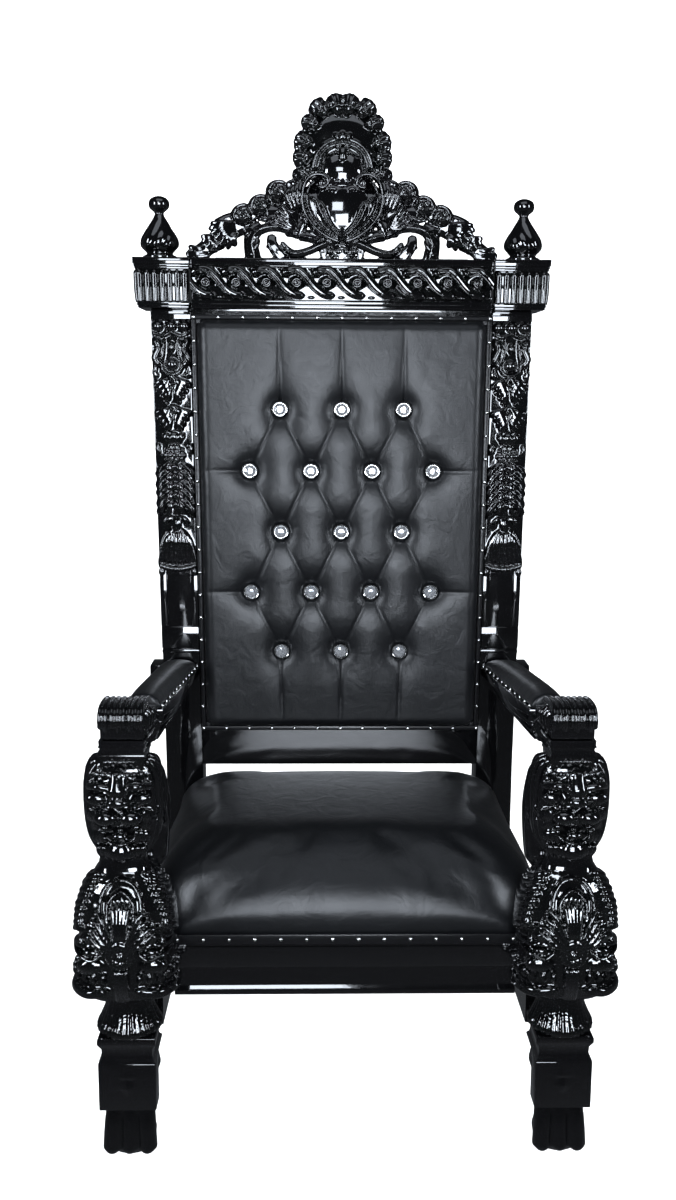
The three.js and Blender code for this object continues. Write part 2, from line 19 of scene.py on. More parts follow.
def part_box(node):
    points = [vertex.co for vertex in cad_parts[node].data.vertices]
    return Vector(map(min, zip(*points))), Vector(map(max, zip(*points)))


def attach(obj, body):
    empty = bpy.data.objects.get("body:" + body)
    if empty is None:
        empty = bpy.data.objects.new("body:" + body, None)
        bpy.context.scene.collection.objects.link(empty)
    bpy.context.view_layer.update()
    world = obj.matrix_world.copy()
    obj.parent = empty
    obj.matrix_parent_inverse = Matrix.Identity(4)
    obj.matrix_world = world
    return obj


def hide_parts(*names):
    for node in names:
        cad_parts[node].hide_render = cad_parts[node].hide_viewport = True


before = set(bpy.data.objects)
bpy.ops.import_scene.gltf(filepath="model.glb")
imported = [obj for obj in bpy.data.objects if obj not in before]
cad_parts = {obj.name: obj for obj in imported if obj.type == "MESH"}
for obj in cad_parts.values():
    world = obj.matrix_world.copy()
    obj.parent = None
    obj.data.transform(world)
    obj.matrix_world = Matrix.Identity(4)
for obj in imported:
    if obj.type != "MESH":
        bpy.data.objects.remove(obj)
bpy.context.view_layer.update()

scene = bpy.context.scene


# %% [markdown]
# ## Finishes
#
# Every finish starts from what the real one is. A small function turns a hex colour, as a painter
# would pick it, into the linear values that the shader wants, and another adds a node with its
# settings and links, so each material reads as a short list.

# %% Colour and node helpers
def linear(code):
    """A hex sRGB colour as linear RGBA."""
    parts = [int(code[i : i + 2], 16) / 255 for i in (1, 3, 5)]
    return [c / 12.92 if c <= 0.04045 else ((c + 0.055) / 1.055) ** 2.4 for c in parts] + [1.0]


def add_node(tree, kind, settings=None, **inputs):
    """Adds one node. A plain input is a value, and a (node, output) pair is a link.

    An underscore in an input's name stands for a space, and one before a number for its place.
    """
    made = tree.nodes.new(kind)
    for name, value in (settings or {}).items():
        setattr(made, name, value)
    for name, value in inputs.items():
        socket = made.inputs[int(name[1:])] if name[1:].isdigit() else made.inputs[name.replace("_", " ")]
        if isinstance(value, tuple) and isinstance(value[0], bpy.types.Node):
            tree.links.new(value[0].outputs[value[1]], socket)
        else:
            socket.default_value = value
    return made


def finish_called(name):
    """A new material with its Principled shader, and a node that gives the piece's own coordinates."""
    made = bpy.data.materials.new(name)
    made.use_nodes = True
    tree = made.node_tree
    return made, tree, tree.nodes["Principled BSDF"], add_node(tree, "ShaderNodeTexCoord")


# %% [markdown]
# ### Black piano lacquer
#
# Polyurethane lacquer over sealed, sanded mahogany: nearly black, with a clear skin that mirrors
# lamps and windows. Sprayed lacquer is never optically flat. It lies in shallow waves a few
# millimetres across, called orange peel, and the carver's gouge leaves softer waves under it.

# %% Lacquer
lacquer, tree, skin, place = finish_called("black_piano_lacquer")
skin.inputs["Base Color"].default_value = linear("#060607")
skin.inputs["IOR"].default_value = 1.5
skin.inputs["Coat Weight"].default_value = 1.0
skin.inputs["Coat Roughness"].default_value = 0.02
skin.inputs["Coat IOR"].default_value = 1.6
peel = add_node(tree, "ShaderNodeTexNoise", Vector=(place, "Object"), Scale=120.0, Detail=1.0)
gouge = add_node(tree, "ShaderNodeTexNoise", Vector=(place, "Object"), Scale=36.0, Detail=2.0)
both = add_node(
    tree, "ShaderNodeMath", {"operation": "MULTIPLY_ADD"}, _0=(gouge, "Fac"), _1=2.2, _2=(peel, "Fac")
)
waves = add_node(tree, "ShaderNodeBump", Strength=0.22, Distance=0.00025, Height=(both, "Value"))
tree.links.new(waves.outputs["Normal"], skin.inputs["Normal"])
rubbed = add_node(tree, "ShaderNodeMapRange", Value=(gouge, "Fac"), To_Min=0.05, To_Max=0.12)
tree.links.new(rubbed.outputs["Result"], skin.inputs["Roughness"])
print("lacquer:", len(tree.nodes), "nodes")

# %% [markdown]
# ### Black faux leather
#
# Vinyl on a knitted backing, embossed with a calf grain: flat pebbles about 1.4 mm across between
# fine creases. Where it is stretched over foam it takes slack, shallow wrinkles a few centimetres
# long. It is greyer than the lacquer, because its rougher skin spreads the light.

# %% Faux leather
leather, tree, skin, place = finish_called("black_faux_leather")
skin.inputs["IOR"].default_value = 1.45
skin.inputs["Sheen Weight"].default_value = 0.01
skin.inputs["Sheen Roughness"].default_value = 0.5
mottle = add_node(tree, "ShaderNodeTexNoise", Vector=(place, "Object"), Scale=9.0, Detail=4.0)
tone = add_node(
    tree, "ShaderNodeMix", {"data_type": "RGBA"}, _0=(mottle, "Fac"), _6=linear("#090a0b"),
    _7=linear("#0f1013"),
)
tree.links.new(tone.outputs[2], skin.inputs["Base Color"])
pebble = add_node(
    tree, "ShaderNodeTexVoronoi", {"feature": "DISTANCE_TO_EDGE"}, Vector=(place, "Object"),
    Scale=620.0,
)
flat = add_node(tree, "ShaderNodeMapRange", Value=(pebble, "Distance"), From_Max=0.25)
slack = add_node(tree, "ShaderNodeTexNoise", Vector=(place, "Object"), Scale=26.0, Detail=3.0, Distortion=1.2)
grain = add_node(tree, "ShaderNodeBump", Strength=0.16, Distance=0.0003, Height=(flat, "Result"))
wrinkle = add_node(
    tree, "ShaderNodeBump", Strength=0.45, Distance=0.002, Height=(slack, "Fac"),
    Normal=(grain, "Normal"),
)
tree.links.new(wrinkle.outputs["Normal"], skin.inputs["Normal"])
worn = add_node(tree, "ShaderNodeMapRange", Value=(slack, "Fac"), To_Min=0.30, To_Max=0.40)
tree.links.new(worn.outputs["Result"], skin.inputs["Roughness"])
print("faux leather:", len(tree.nodes), "nodes")

# %% [markdown]
# ### Gimp, nails and crystal
#
# The gimp is a glossy woven tape over the tacked edge, its weave a couple of millimetres across.
# The nail heads and the dishes behind the crystals are polished nickel on steel. The crystals are
# cut glass with a foiled back, so each facet acts as a small bright mirror, and a slow cloud of
# lighter and darker tones painted into their colour is painted glints, standing for the fire of the cut.

# %% Gimp, nickel and crystal
gimp, tree, skin, place = finish_called("black_woven_gimp")
skin.inputs["Base Color"].default_value = linear("#0a0a0c")
skin.inputs["Roughness"].default_value = 0.3
weft = add_node(tree, "ShaderNodeTexNoise", Vector=(place, "Object"), Scale=420.0, Detail=1.0)
rib = add_node(tree, "ShaderNodeBump", Strength=0.5, Distance=0.0005, Height=(weft, "Fac"))
tree.links.new(rib.outputs["Normal"], skin.inputs["Normal"])

nickel, tree, skin, place = finish_called("polished_nickel")
skin.inputs["Base Color"].default_value = linear("#dcdcda")
skin.inputs["Metallic"].default_value = 1.0
tarnish = add_node(tree, "ShaderNodeTexNoise", Vector=(place, "Object"), Scale=90.0, Detail=2.0)
dull = add_node(tree, "ShaderNodeMapRange", Value=(tarnish, "Fac"), To_Min=0.06, To_Max=0.2)
tree.links.new(dull.outputs["Result"], skin.inputs["Roughness"])

crystal, tree, skin, place = finish_called("foiled_cut_crystal")
skin.inputs["Metallic"].default_value = 0.75
skin.inputs["Roughness"].default_value = 0.08
cloud = add_node(tree, "ShaderNodeTexNoise", Vector=(place, "Object"), Scale=240.0, Detail=1.0)
# Painted glints: a cloud of light and dark tones in the crystal's colour stands for the fire of the cut.
painted_glints = add_node(
    tree, "ShaderNodeMix", {"data_type": "RGBA"}, _0=(cloud, "Fac"), _6=linear("#7d8694"),
    _7=linear("#ffffff"),
)
tree.links.new(painted_glints.outputs[2], skin.inputs["Base Color"])
print("gimp, nickel and crystal:", len(bpy.data.materials), "finishes so far")

# %% [markdown]
# ## Carver's tools
#
# Carved ornament is built from a few strokes, as a carver builds it. A bead is a ball. A stroke is a
# ball drawn out along a curve: plain it is a stem or a roll, and with grooves it is a leaf or a lock
# of mane. A turning is a profile spun on an axis. Strokes overlap, so a voxel remesh melts each group
# into one skin, a few rounds of smoothing take off the voxel steps, and a decimation thins the rest.

# %% Tools: curve, bead, stroke
def through(points, t):
    """The place at share t of the smooth curve through the points."""
    last = len(points) - 1
    i = min(int(t * last), last - 1)
    a, b, c, d = (Vector(points[max(0, min(last, i + k))]) for k in (-1, 0, 1, 2))
    s = t * last - i
    return 0.5 * (2 * b + (c - a) * s + (2 * a - 5 * b + 4 * c - d) * s * s + (3 * b - a - 3 * c + d) * s**3)


def vertices_in(geom):
    """The vertices among the mixed geometry that an operator gives back."""
    return [g for g in geom if isinstance(g, bmesh.types.BMVert)]


def laid(bm, shell):
    """Adds a small closed shell to the work, and gives back its vertices there."""
    mesh = bpy.data.meshes.new("shell")
    shell.to_mesh(mesh)
    shell.free()
    count = len(bm.verts)
    bm.from_mesh(mesh)
    bpy.data.meshes.remove(mesh)
    return list(bm.verts[count:])


def bead(bm, at, radii, turn=0.0, sides=20):
    """A ball or ellipsoid, turned about the front-to-back axis."""
    if not hasattr(radii, "__len__"):
        radii = (radii,) * 3
    shell = bmesh.new()
    bmesh.ops.create_uvsphere(shell, u_segments=sides, v_segments=max(6, sides * 2 // 3), radius=1)
    bmesh.ops.scale(shell, verts=shell.verts, vec=radii)
    bmesh.ops.rotate(shell, verts=shell.verts, cent=(0, 0, 0), matrix=Matrix.Rotation(-turn, 3, "Y"))
    bmesh.ops.translate(shell, verts=shell.verts, vec=at)
    return laid(bm, shell)


def stroke(
    bm, points, width, height, grooves=0, deep=0.3, blunt=0.5, taper=(1, 1), front=(0, -1, 0), closer=1.0
):
    """A ball drawn out along a curve, width and height being its half sizes.

    Grooves run along it, and deep says how far they cut in. Blunt is the share of its length over
    which an end is rounded, and taper gives its size at each end. Closer sets its rings nearer.
    """
    shell = bmesh.new()
    rings, sides = max(10, int(closer * 8 * len(points))), 14 + 4 * grooves
    bmesh.ops.create_uvsphere(shell, u_segments=sides, v_segments=rings, radius=1)
    frames, out = {}, Vector(front)
    for v in shell.verts:
        level = round(v.co.z, 4)
        if level not in frames:
            t = math.acos(max(-1.0, min(1.0, v.co.z))) / math.pi
            swell = min(1.0, math.sin(math.pi * t) / blunt) * (taper[0] + (taper[1] - taper[0]) * t)
            along = through(points, min(1.0, t + 0.02)) - through(points, max(0.0, t - 0.02))
            across = along.cross(out).normalized()
            up = across.cross(along).normalized()
            frames[level] = through(points, t), across * (width * swell), up * (height * swell)
        middle, across, up = frames[level]
        turn = math.atan2(v.co.y, v.co.x)
        side, lift = math.cos(turn), math.sin(turn)
        if grooves:
            lift *= 1 - deep * (0.5 - 0.5 * math.cos(2 * math.pi * grooves * (side * 0.5 + 0.5)))
        v.co = middle + across * side + up * lift
    return laid(bm, shell)


def both_sides(bm, verts):
    """Adds the mirror image of these vertices' faces across x = 0."""
    faces = list({f for v in verts for f in v.link_faces})
    twin = bmesh.ops.duplicate(bm, geom=faces)["geom"]
    bmesh.ops.scale(bm, verts=vertices_in(twin), vec=(-1, 1, 1))
    bmesh.ops.reverse_faces(bm, faces=[g for g in twin if isinstance(g, bmesh.types.BMFace)])


# %% Tools: turning, block and run
def turned(bm, profile, sides, shape=None):
    """A profile of (radius, height), spun round the upright axis.

    With four sides it is turned to stand square, and its radius is the half width of a side. Shape
    scales the radius by angle and height.
    """
    shell = bmesh.new()
    verts = [shell.verts.new((r, 0, z)) for r, z in profile]
    edges = [shell.edges.new(pair) for pair in zip(verts, verts[1:])]
    bmesh.ops.spin(
        shell, geom=verts + edges, cent=(0, 0, 0), axis=(0, 0, 1), angle=2 * math.pi, steps=sides,
        use_merge=True,
    )
    on_axis = [v for v in shell.verts if math.hypot(v.co.x, v.co.y) < 1e-4]
    bmesh.ops.remove_doubles(shell, verts=on_axis, dist=1e-3)
    if sides == 4:
        bmesh.ops.rotate(
            shell, verts=shell.verts, cent=(0, 0, 0), matrix=Matrix.Rotation(math.pi / 4, 3, "Z")
        )
        bmesh.ops.scale(shell, verts=shell.verts, vec=(math.sqrt(2), math.sqrt(2), 1))
    if shape:
        for v in shell.verts:
            k = shape(math.atan2(v.co.y, v.co.x), v.co.z)
            v.co.x, v.co.y = v.co.x * k, v.co.y * k
    bmesh.ops.recalc_face_normals(shell, faces=shell.faces)
    return laid(bm, shell)


def block(bm, low, high, soft=1.2, cuts=0, shape=None):
    """A squared block of wood with its arrises rubbed round. Shape moves its corners before that."""
    shell = bmesh.new()
    bmesh.ops.create_cube(shell, size=1)
    if cuts:
        upright = [e for e in shell.edges if abs(e.verts[0].co.z - e.verts[1].co.z) > 0.5]
        bmesh.ops.subdivide_edges(shell, edges=upright, cuts=cuts, use_grid_fill=True)
    bmesh.ops.scale(shell, verts=shell.verts, vec=[h - l for l, h in zip(low, high)])
    bmesh.ops.translate(shell, verts=shell.verts, vec=[(l + h) / 2 for l, h in zip(low, high)])
    if shape:
        for v in shell.verts:
            v.co = shape(*v.co)
    arrises = [e for e in shell.edges if e.calc_face_angle(0) > 0.5]
    bmesh.ops.bevel(
        shell, geom=arrises, offset=soft, offset_type="OFFSET", segments=2, profile=0.5, affect="EDGES",
        material=-1,
    )
    return laid(bm, shell)


def run(bm, section, x0, x1):
    """A moulding with a section in (y, z), planed straight from x0 to x1."""
    shell = bmesh.new()
    face = shell.faces.new([shell.verts.new((x0, y, z)) for y, z in section])
    drawn = bmesh.ops.extrude_face_region(shell, geom=[face])["geom"]
    bmesh.ops.translate(shell, verts=vertices_in(drawn), vec=(x1 - x0, 0, 0))
    bmesh.ops.recalc_face_normals(shell, faces=shell.faces)
    return laid(bm, shell)


def sliced(bm, at, facing):
    """Saws the work off on the far side of a plane and closes the cut."""
    geom = list(bm.verts) + list(bm.edges) + list(bm.faces)
    bmesh.ops.bisect_plane(bm, geom=geom, plane_co=at, plane_no=facing, clear_outer=True)
    bmesh.ops.holes_fill(bm, edges=[e for e in bm.edges if e.is_boundary])


# %% Tools: melting a group, and making a finished piece
def melted(bm, voxel, relax=3, share=1.0):
    """The overlapping shells of a bmesh as one skin, in a new bmesh, thinned to a share of its faces."""
    mesh = bpy.data.meshes.new("rough")
    bm.to_mesh(mesh)
    bm.free()
    rough = bpy.data.objects.new("rough", mesh)
    scene.collection.objects.link(rough)
    melt = rough.modifiers.new("melt", "REMESH")
    melt.mode, melt.voxel_size = "VOXEL", voxel
    ease = rough.modifiers.new("ease", "SMOOTH")
    ease.iterations, ease.factor = relax, 0.5
    if share < 1:
        rough.modifiers.new("thin", "DECIMATE").ratio = share
    result = bpy.data.meshes.new_from_object(rough.evaluated_get(bpy.context.evaluated_depsgraph_get()))
    made = bmesh.new()
    made.from_mesh(result)
    bpy.data.objects.remove(rough)
    bpy.data.meshes.remove(mesh)
    bpy.data.meshes.remove(result)
    return made


def joined(*parts):
    """Several bmeshes in one, each left as its own closed shell. The parts are used up."""
    whole = bmesh.new()
    for part in parts:
        mesh = bpy.data.meshes.new("part")
        part.to_mesh(mesh)
        part.free()
        whole.from_mesh(mesh)
        bpy.data.meshes.remove(mesh)
    return whole


LEAN_FROM, LEAN, SPREAD = 500, 0.045, 5.5e-5


def leaned(bm):
    """The back's lean and spread above its foot, the same as the frame's."""
    for v in bm.verts:
        rise = max(0.0, v.co.z - LEAN_FROM)
        v.co.x *= 1 + SPREAD * rise
        v.co.y += LEAN * rise
    return bm


MM = 0.001


def piece(name, bm, finish, slot, *nodes, crease=40):
    """A finished piece: scaled to metres, painted, and standing for the named solids.

    Crease is the angle between two faces, in degrees, past which their edge stays sharp.
    """
    bmesh.ops.scale(bm, verts=bm.verts, vec=(MM, MM, MM))
    mesh = bpy.data.meshes.new(name)
    bm.to_mesh(mesh)
    bm.free()
    mesh.materials.append(finish)
    mesh.shade_smooth()
    mesh.set_sharp_from_angle(angle=math.radians(crease))
    made = bpy.data.objects.new(name, mesh)
    scene.collection.objects.link(made)
    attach(made, "root")
    if nodes:
        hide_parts(*nodes)
    print(f"{name}: {sum(len(p.vertices) - 2 for p in mesh.polygons):,} triangles")
    return made


def mirrored(bm):
    """A copy of a bmesh for the other side of the throne."""
    twin = bm.copy()
    bmesh.ops.scale(twin, verts=twin.verts, vec=(-1, 1, 1))
    bmesh.ops.reverse_faces(twin, faces=twin.faces)
    return twin


def piece_pair(name, right, finish, slot, node, crease=40):
    """The same piece on the right and, mirrored, on the left. Gives back both."""
    sides = (("right", right), ("left", mirrored(right)))
    return [piece(f"{name}_{side}", bm, finish, slot, f"{node}_{side}", crease=crease) for side, bm in sides]


def mm(node):
    """A solid's lowest and highest corner, in millimetres."""
    low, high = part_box(node)
    return low * 1000, high * 1000


coarseness = 1.0
print("tools ready; voxels are", coarseness, "times their full size")

# %% [markdown]
# ## The front legs
#
# Each front leg is carved from one post of wood: a ringed neck, a lion's head, a rosette scroll, a
# bell of leaves, a square block and a paw. It is drawn round its own upright axis with its face to
# the front. One function gives the column's surface at any height and angle, so that every lock and
# leaf can be laid on it with a stated relief.

# %% The column under the carving
LEG_X, LEG_Y = 362.5, -322.5
COLUMN_LINE = [
    (0, 284), (62, 284), (72, 292), (77, 312), (78, 345), (77, 396), (73, 440), (65, 466), (54, 488),
    (43, 508), (40, 522), (45, 545), (52, 575), (55, 632), (50, 666), (40, 692), (0, 698),
]


def squared(a, z=0):
    """How far a square-shouldered column lies out at an angle, against a round one, at any height."""
    return (abs(math.cos(a)) ** 3 + abs(math.sin(a) / 0.88) ** 3) ** (-1 / 3)


def column_radius(z):
    """The column's radius at a height, eased where it swells or narrows."""
    line = COLUMN_LINE[1:-1]
    for (r0, z0), (r1, z1) in zip(line, line[1:]):
        if z <= z1:
            s = max(0.0, (z - z0) / (z1 - z0))
            return r0 + (r1 - r0) * s * s * (3 - 2 * s) if abs(r1 - r0) > 4 else r0 + (r1 - r0) * s
    return line[-1][0]


def on_column(degrees, z, proud=0.0):
    """A point on the column, its angle counted from the front towards the outer side."""
    a = math.radians(degrees)
    r = column_radius(z) * squared(a - math.pi / 2) + proud
    return (r * math.sin(a), -r * math.cos(a), z)


leg = bmesh.new()
rounded = [(column_radius(z), z) for z in range(286, 696, 6)]
turned(leg, [(0, 284), (62, 284)] + rounded + [(34, 697), (0, 698)], 64, squared)
print("column:", len(leg.verts), "points")

# %% [markdown]
# The rosette scroll is a stylised second mask. An arched rim holds a fluted shell, sprays of leaf
# fall to both sides of a flower, and under them are a ball between two lids, a smooth cheek, a row
# of folds and a roll. Fine ridges of mane wrap the upper corners. A carver cuts one half against a
# paper pattern and turns the pattern over for the other, and the script does the same.

# %% Rosette scroll
def on_front(x, z, proud):
    """A point on the front of the column at a distance from its middle line."""
    share = max(-1, min(1, x / (column_radius(z) + proud)))
    return on_column(math.degrees(math.asin(share)), z, proud)


def scroll_carving(bm):
    arch = [
        (-25, 404, 9), (-33, 436, 8), (-33, 464, 8), (-21, 487, 8), (0, 495, 8), (21, 487, 8),
        (33, 464, 8), (33, 436, 8), (25, 404, 9),
    ]
    stroke(bm, [on_front(*p) for p in arch], 3.6, 7, blunt=0.15)
    inner = [
        (-14, 406, 9), (-22, 436, 7), (-21, 460, 6), (0, 477, 5), (21, 460, 6), (22, 436, 7),
        (14, 406, 9),
    ]
    stroke(bm, [on_front(*p) for p in inner], 2.4, 6, blunt=0.15)
    for k in (-2, -1, 0, 1, 2):
        flute = [on_front(k * 3, 398, 14), on_front(k * 5.6, 430, 10), on_front(k * 7.8, 466 - 2 * abs(k), 4)]
        stroke(bm, flute, 3.8, 8, blunt=0.7)
    half = []
    for i in range(4):
        leaf = [
            (8 + 2 * i, 396 - 3 * i, 15), (20 + 5 * i, 413 - 6 * i, 16), (31 + 6 * i, 438 - 10 * i, 13),
            (41 + 7 * i, 449 - 15 * i, 8),
        ]
        half += stroke(bm, [on_front(*p) for p in leaf], 4.6, 9, blunt=0.45, taper=(0.7, 1.2))
        half += bead(bm, on_front(43 + 6.5 * i, 441 - 15 * i, 8), (5, 5.5, 5), sides=12)
    for i in range(9):
        z = 500 - 11 * i
        ridge = [
            on_column(38 + 2 * i, z, 3), on_column(60 + i, z - 7, 6), on_column(88, z - 18, 4),
            on_column(120, z - 22, 1),
        ]
        half += stroke(bm, ridge, 4.6, 5.5, blunt=0.4)
    half += bead(bm, on_front(47, 403, 5), (13, 14, 12))
    for z, lift in ((417, 9), (391, 8)):
        lid = [
            on_front(28, z - 8, 8), on_front(46, z + 1, lift + 3), on_front(64, z - 2, lift),
            on_column(84, z - 9, 5),
        ]
        half += stroke(bm, lid, 3.4, 7, blunt=0.35)
    half += bead(bm, on_front(47, 379, 6), (15, 9, 6.5))
    lower_lid = [on_front(27, 382, 6), on_front(47, 368, 12), on_front(66, 374, 8), on_column(84, 378, 4)]
    half += stroke(bm, lower_lid, 3.2, 7, blunt=0.35)
    half += bead(bm, on_front(46, 352, -3), (27, 14, 15))
    for i in range(7):
        fold = [
            on_column(20 + 11 * i, 343, 3), on_column(22 + 11 * i, 334, 8),
            on_column(20 + 11 * i, 325, 3),
        ]
        half += stroke(bm, fold, 3.8, 5.5, blunt=0.6)
    roll = [on_column(14, 312, 4), on_column(40, 306, 9), on_column(66, 307, 8), on_column(100, 310, 3)]
    half += stroke(bm, roll, 8, 9, blunt=0.4, grooves=1)
    both_sides(bm, half)
    for x in (-9, 0, 9):
        stem = [on_front(x, 356, 8), on_front(x * 0.9, 322, 10), on_front(x * 0.8, 284, 2)]
        stroke(bm, stem, 4.8, 7, blunt=0.5)


scroll_carving(leg)
print("with the scroll:", len(leg.verts), "points")

# %% [markdown]
# The flower at the heart of the scroll is turned once and rippled into petals, then laid on its back
# so that it faces the front, with a ring of beads round a boss.

# %% Flower
FLOWER_LINE = [(0, -14), (20, -10), (23, 0), (24, 4), (21, 8), (16, 7), (13, 4), (9, 5), (0, 6)]
PETALS, FLOWER_BEADS = 8, 12


def petalled(a, z):
    """The wavy rim of the flower."""
    return 1 + 0.09 * abs(math.cos(PETALS * a / 2))


def flower(bm, at, radius):
    """A flower that faces the front, with its petals' rim at a radius."""
    k = radius / max(r for r, z in FLOWER_LINE)
    made = turned(bm, FLOWER_LINE, 48, petalled)
    bmesh.ops.scale(bm, verts=made, vec=(k, k, k))
    for i in range(FLOWER_BEADS):
        a = 2 * math.pi * i / FLOWER_BEADS
        made += bead(bm, (13.5 * k * math.cos(a), 13.5 * k * math.sin(a), 6 * k), 2.5 * k, sides=8)
    made += bead(bm, (0, 0, 6 * k), (6.5 * k, 6.5 * k, 6 * k), sides=14)
    bmesh.ops.rotate(bm, verts=made, cent=(0, 0, 0), matrix=Matrix.Rotation(math.pi / 2, 3, "X"))
    bmesh.ops.translate(bm, verts=made, vec=at)
    return made


flower(leg, (0, -82, 379), 22)
print("flower laid on the scroll")

# %% [markdown]
# The lion's head is a mask on the column's upper swelling: a heavy brow of curls, smooth eyes under
# it, a broad nose over two muzzle pads, a lower lip, tufts of beard beside a smooth chin, and a mane
# combed back along the cheeks.

# %% Lion's head
def lion_head(bm):
    bead(bm, (0, -18, 618), (46, 42, 62))
    stroke(bm, [(0, -48, 682), (0, -62, 657), (0, -74, 632)], 17, 12, blunt=0.8, taper=(0.7, 1.1))
    bead(bm, (0, -74, 630), (17, 9, 8))
    bead(bm, (0, -44, 540), (23, 20, 19))
    bead(bm, (0, -56, 569), (13, 9, 7))
    lip = [(-25, -46, 566), (-13, -58, 559), (0, -62, 557), (13, -58, 559), (25, -46, 566)]
    stroke(bm, lip, 3.0, 6, blunt=0.4)
    half = bead(bm, (19, -63, 603), (20, 18, 13))
    half += bead(bm, (35, -52, 629), (18, 8, 10), turn=0.12)
    half += stroke(bm, [(12, -62, 650), (32, -63, 654), (50, -38, 648)], 6.5, 9, blunt=0.5)
    for i in range(5):
        out = 5 + 10 * i
        half += bead(bm, (out, -60 + 0.011 * out**2, 671 - 0.25 * i**2), (5.2, 6, 5.2), sides=10)
        half += bead(bm, (out * 0.9, -46 + 0.012 * out**2, 688 - 0.5 * i**2), (5, 6, 5), sides=10)
    half += stroke(bm, [(28, -52, 606), (45, -38, 598), (52, -14, 606)], 11, 8)
    half += stroke(bm, [(30, -48, 586), (46, -30, 580), (52, -4, 588)], 8, 7, grooves=1)
    for k in range(3):
        tuft = [
            (24 + 7 * k, -50 + 5 * k, 580 - 3 * k), (28 + 7 * k, -50 + 6 * k, 566 - 3 * k),
            (24 + 6 * k, -44 + 6 * k, 552),
        ]
        half += stroke(bm, tuft, 4.2, 6, blunt=0.6)
    for k in range(3):
        tuft = [
            (17 + 8 * k, -46 + 4 * k, 552 - 2 * k), (21 + 8 * k, -46 + 5 * k, 538),
            (15 + 7 * k, -38 + 3 * k, 524),
        ]
        half += stroke(bm, tuft, 4.4, 6, blunt=0.6)
    for i in range(5):
        a = 54 + 16 * i
        lock = [
            on_column(a - 24, 690, 1), on_column(a - 6, 668, 3), on_column(a, 625, 2),
            on_column(a + 3, 575, 2), on_column(a - 4, 528, 2),
        ]
        half += stroke(bm, lock, 7.5, 5, grooves=1, blunt=0.5)
    both_sides(bm, half)
    # Towards the seat the mane hangs fuller behind the cheek.
    stroke(bm, [(-34, 26, 684), (-49, 22, 610), (-49, 16, 548), (-42, 8, 480)], 22, 20, grooves=4, deep=0.14)


lion_head(leg)
skin_of_leg = melted(leg, 1.75 * coarseness, relax=2, share=0.37)
print("carved part of the leg:", len(skin_of_leg.verts), "points")

# %% [markdown]
# Below the scroll the leg is joiner's work: a bell of upright leaves, a square cap over a hollow, a
# block with a raised lozenge, and the paw. The mouldings are spun with four sides, which makes them
# square, and keep their crisp arrises because they are never melted.

# %% Bell, block and paw
BELL_LINE = [(0, 213), (42, 213), (43, 224), (37, 246), (33, 270), (34, 292), (0, 292)]
LEAF_LINE = [(31, 294), (34, 262), (43, 236), (49, 222), (45, 213)]
PAW_LINE = [
    (0, 0), (37, 0), (41, 24), (33, 60), (31, 96), (43, 124), (50, 146), (46, 166), (38, 184),
    (42, 214), (0, 214),
]
CAP_LINE = [
    (0, 169), (47, 169), (47, 171), (43, 176), (41.5, 184), (42, 194), (47, 203), (48, 205), (48, 212),
    (46.5, 214), (0, 214),
]
NECK_LINE = [
    (0, 676), (34, 676), (35, 692), (36.5, 693), (36.5, 695.5), (35, 697), (34.5, 707), (35, 709.5),
    (37, 710.5), (37, 713), (36, 714.5), (36.5, 722), (0, 722),
]
LOZENGE_WIDE, LOZENGE_HIGH = 0.98, 0.86


def bell_and_paw():
    """The carved work and the joiner's work below the scroll, as two bmeshes."""
    soft = bmesh.new()
    turned(soft, BELL_LINE, 48)
    for i in range(-5, 6):
        a = math.radians(20 * i)
        out = (math.sin(a), -math.cos(a), 0.2)
        leaf = [(r * math.sin(a), -r * math.cos(a), z) for r, z in LEAF_LINE]
        stroke(soft, leaf, 8.0, 10, grooves=1, deep=0.6, blunt=0.5, taper=(0.7, 1.1), front=out)
    turned(soft, PAW_LINE, 40)
    for x in (-28, 0, 28):
        toe = [(x * 0.82, -8, 92), (x * 0.96, -24, 50), (x * 1.06, -31, 0)]
        stroke(soft, toe, 16.5, 17, blunt=0.32, closer=1.4)
        bead(soft, (x * 1.05, -34, 12), (13, 13, 12))
    soft = melted(soft, 1.9 * coarseness, relax=2, share=0.5)
    sliced(soft, (0, 0, 0.3), (0, 0, -1))
    crisp = bmesh.new()
    block(crisp, (-47.5, -47.5, 86), (47.5, -8, 170), soft=1.6)
    turned(crisp, CAP_LINE, 4)
    lozenge = bmesh.new()
    bmesh.ops.create_cone(lozenge, cap_ends=True, segments=4, radius1=31, radius2=3, depth=11)
    bmesh.ops.rotate(
        lozenge, verts=lozenge.verts, cent=(0, 0, 0), matrix=Matrix.Rotation(math.pi / 2, 3, "X")
    )
    bmesh.ops.scale(lozenge, verts=lozenge.verts, vec=(LOZENGE_WIDE, 1, LOZENGE_HIGH))
    bmesh.ops.translate(lozenge, verts=lozenge.verts, vec=(0, -48.5, 129))
    laid(crisp, lozenge)
    neck = turned(crisp, NECK_LINE, 4)
    bmesh.ops.translate(crisp, verts=neck, vec=(-5, -8, 0))
    return soft, crisp


whole = joined(skin_of_leg, *bell_and_paw())
bmesh.ops.translate(whole, verts=whole.verts, vec=(LEG_X, LEG_Y, 0))
piece_pair("carved_leg", whole, lacquer, "lacquer", "front_leg", crease=50)

# %% [markdown]
# ## The back posts
#
# A post runs from its splayed foot up past the back in one length. The upper face carries a drop of
# carving, read from the collar down: three beads, a shield with a hanging drop, a boss, two tiers
# of leaf, a berry, a long drop of overlapping leaves and a tasselled bell, over a plain sunk panel.
# The drop is laid on a thin ground and melted with it, so that the ground's flat face shows
# between the leaves, as a carver leaves it.

# %% Carving on a post
POST_X, POST_FACE = 325.0, 225.0


def spot(dx, z, proud=0.0):
    """A point on the post's face, its distance counted from the carving's middle line."""
    return (POST_X + dx, POST_FACE - proud, z)


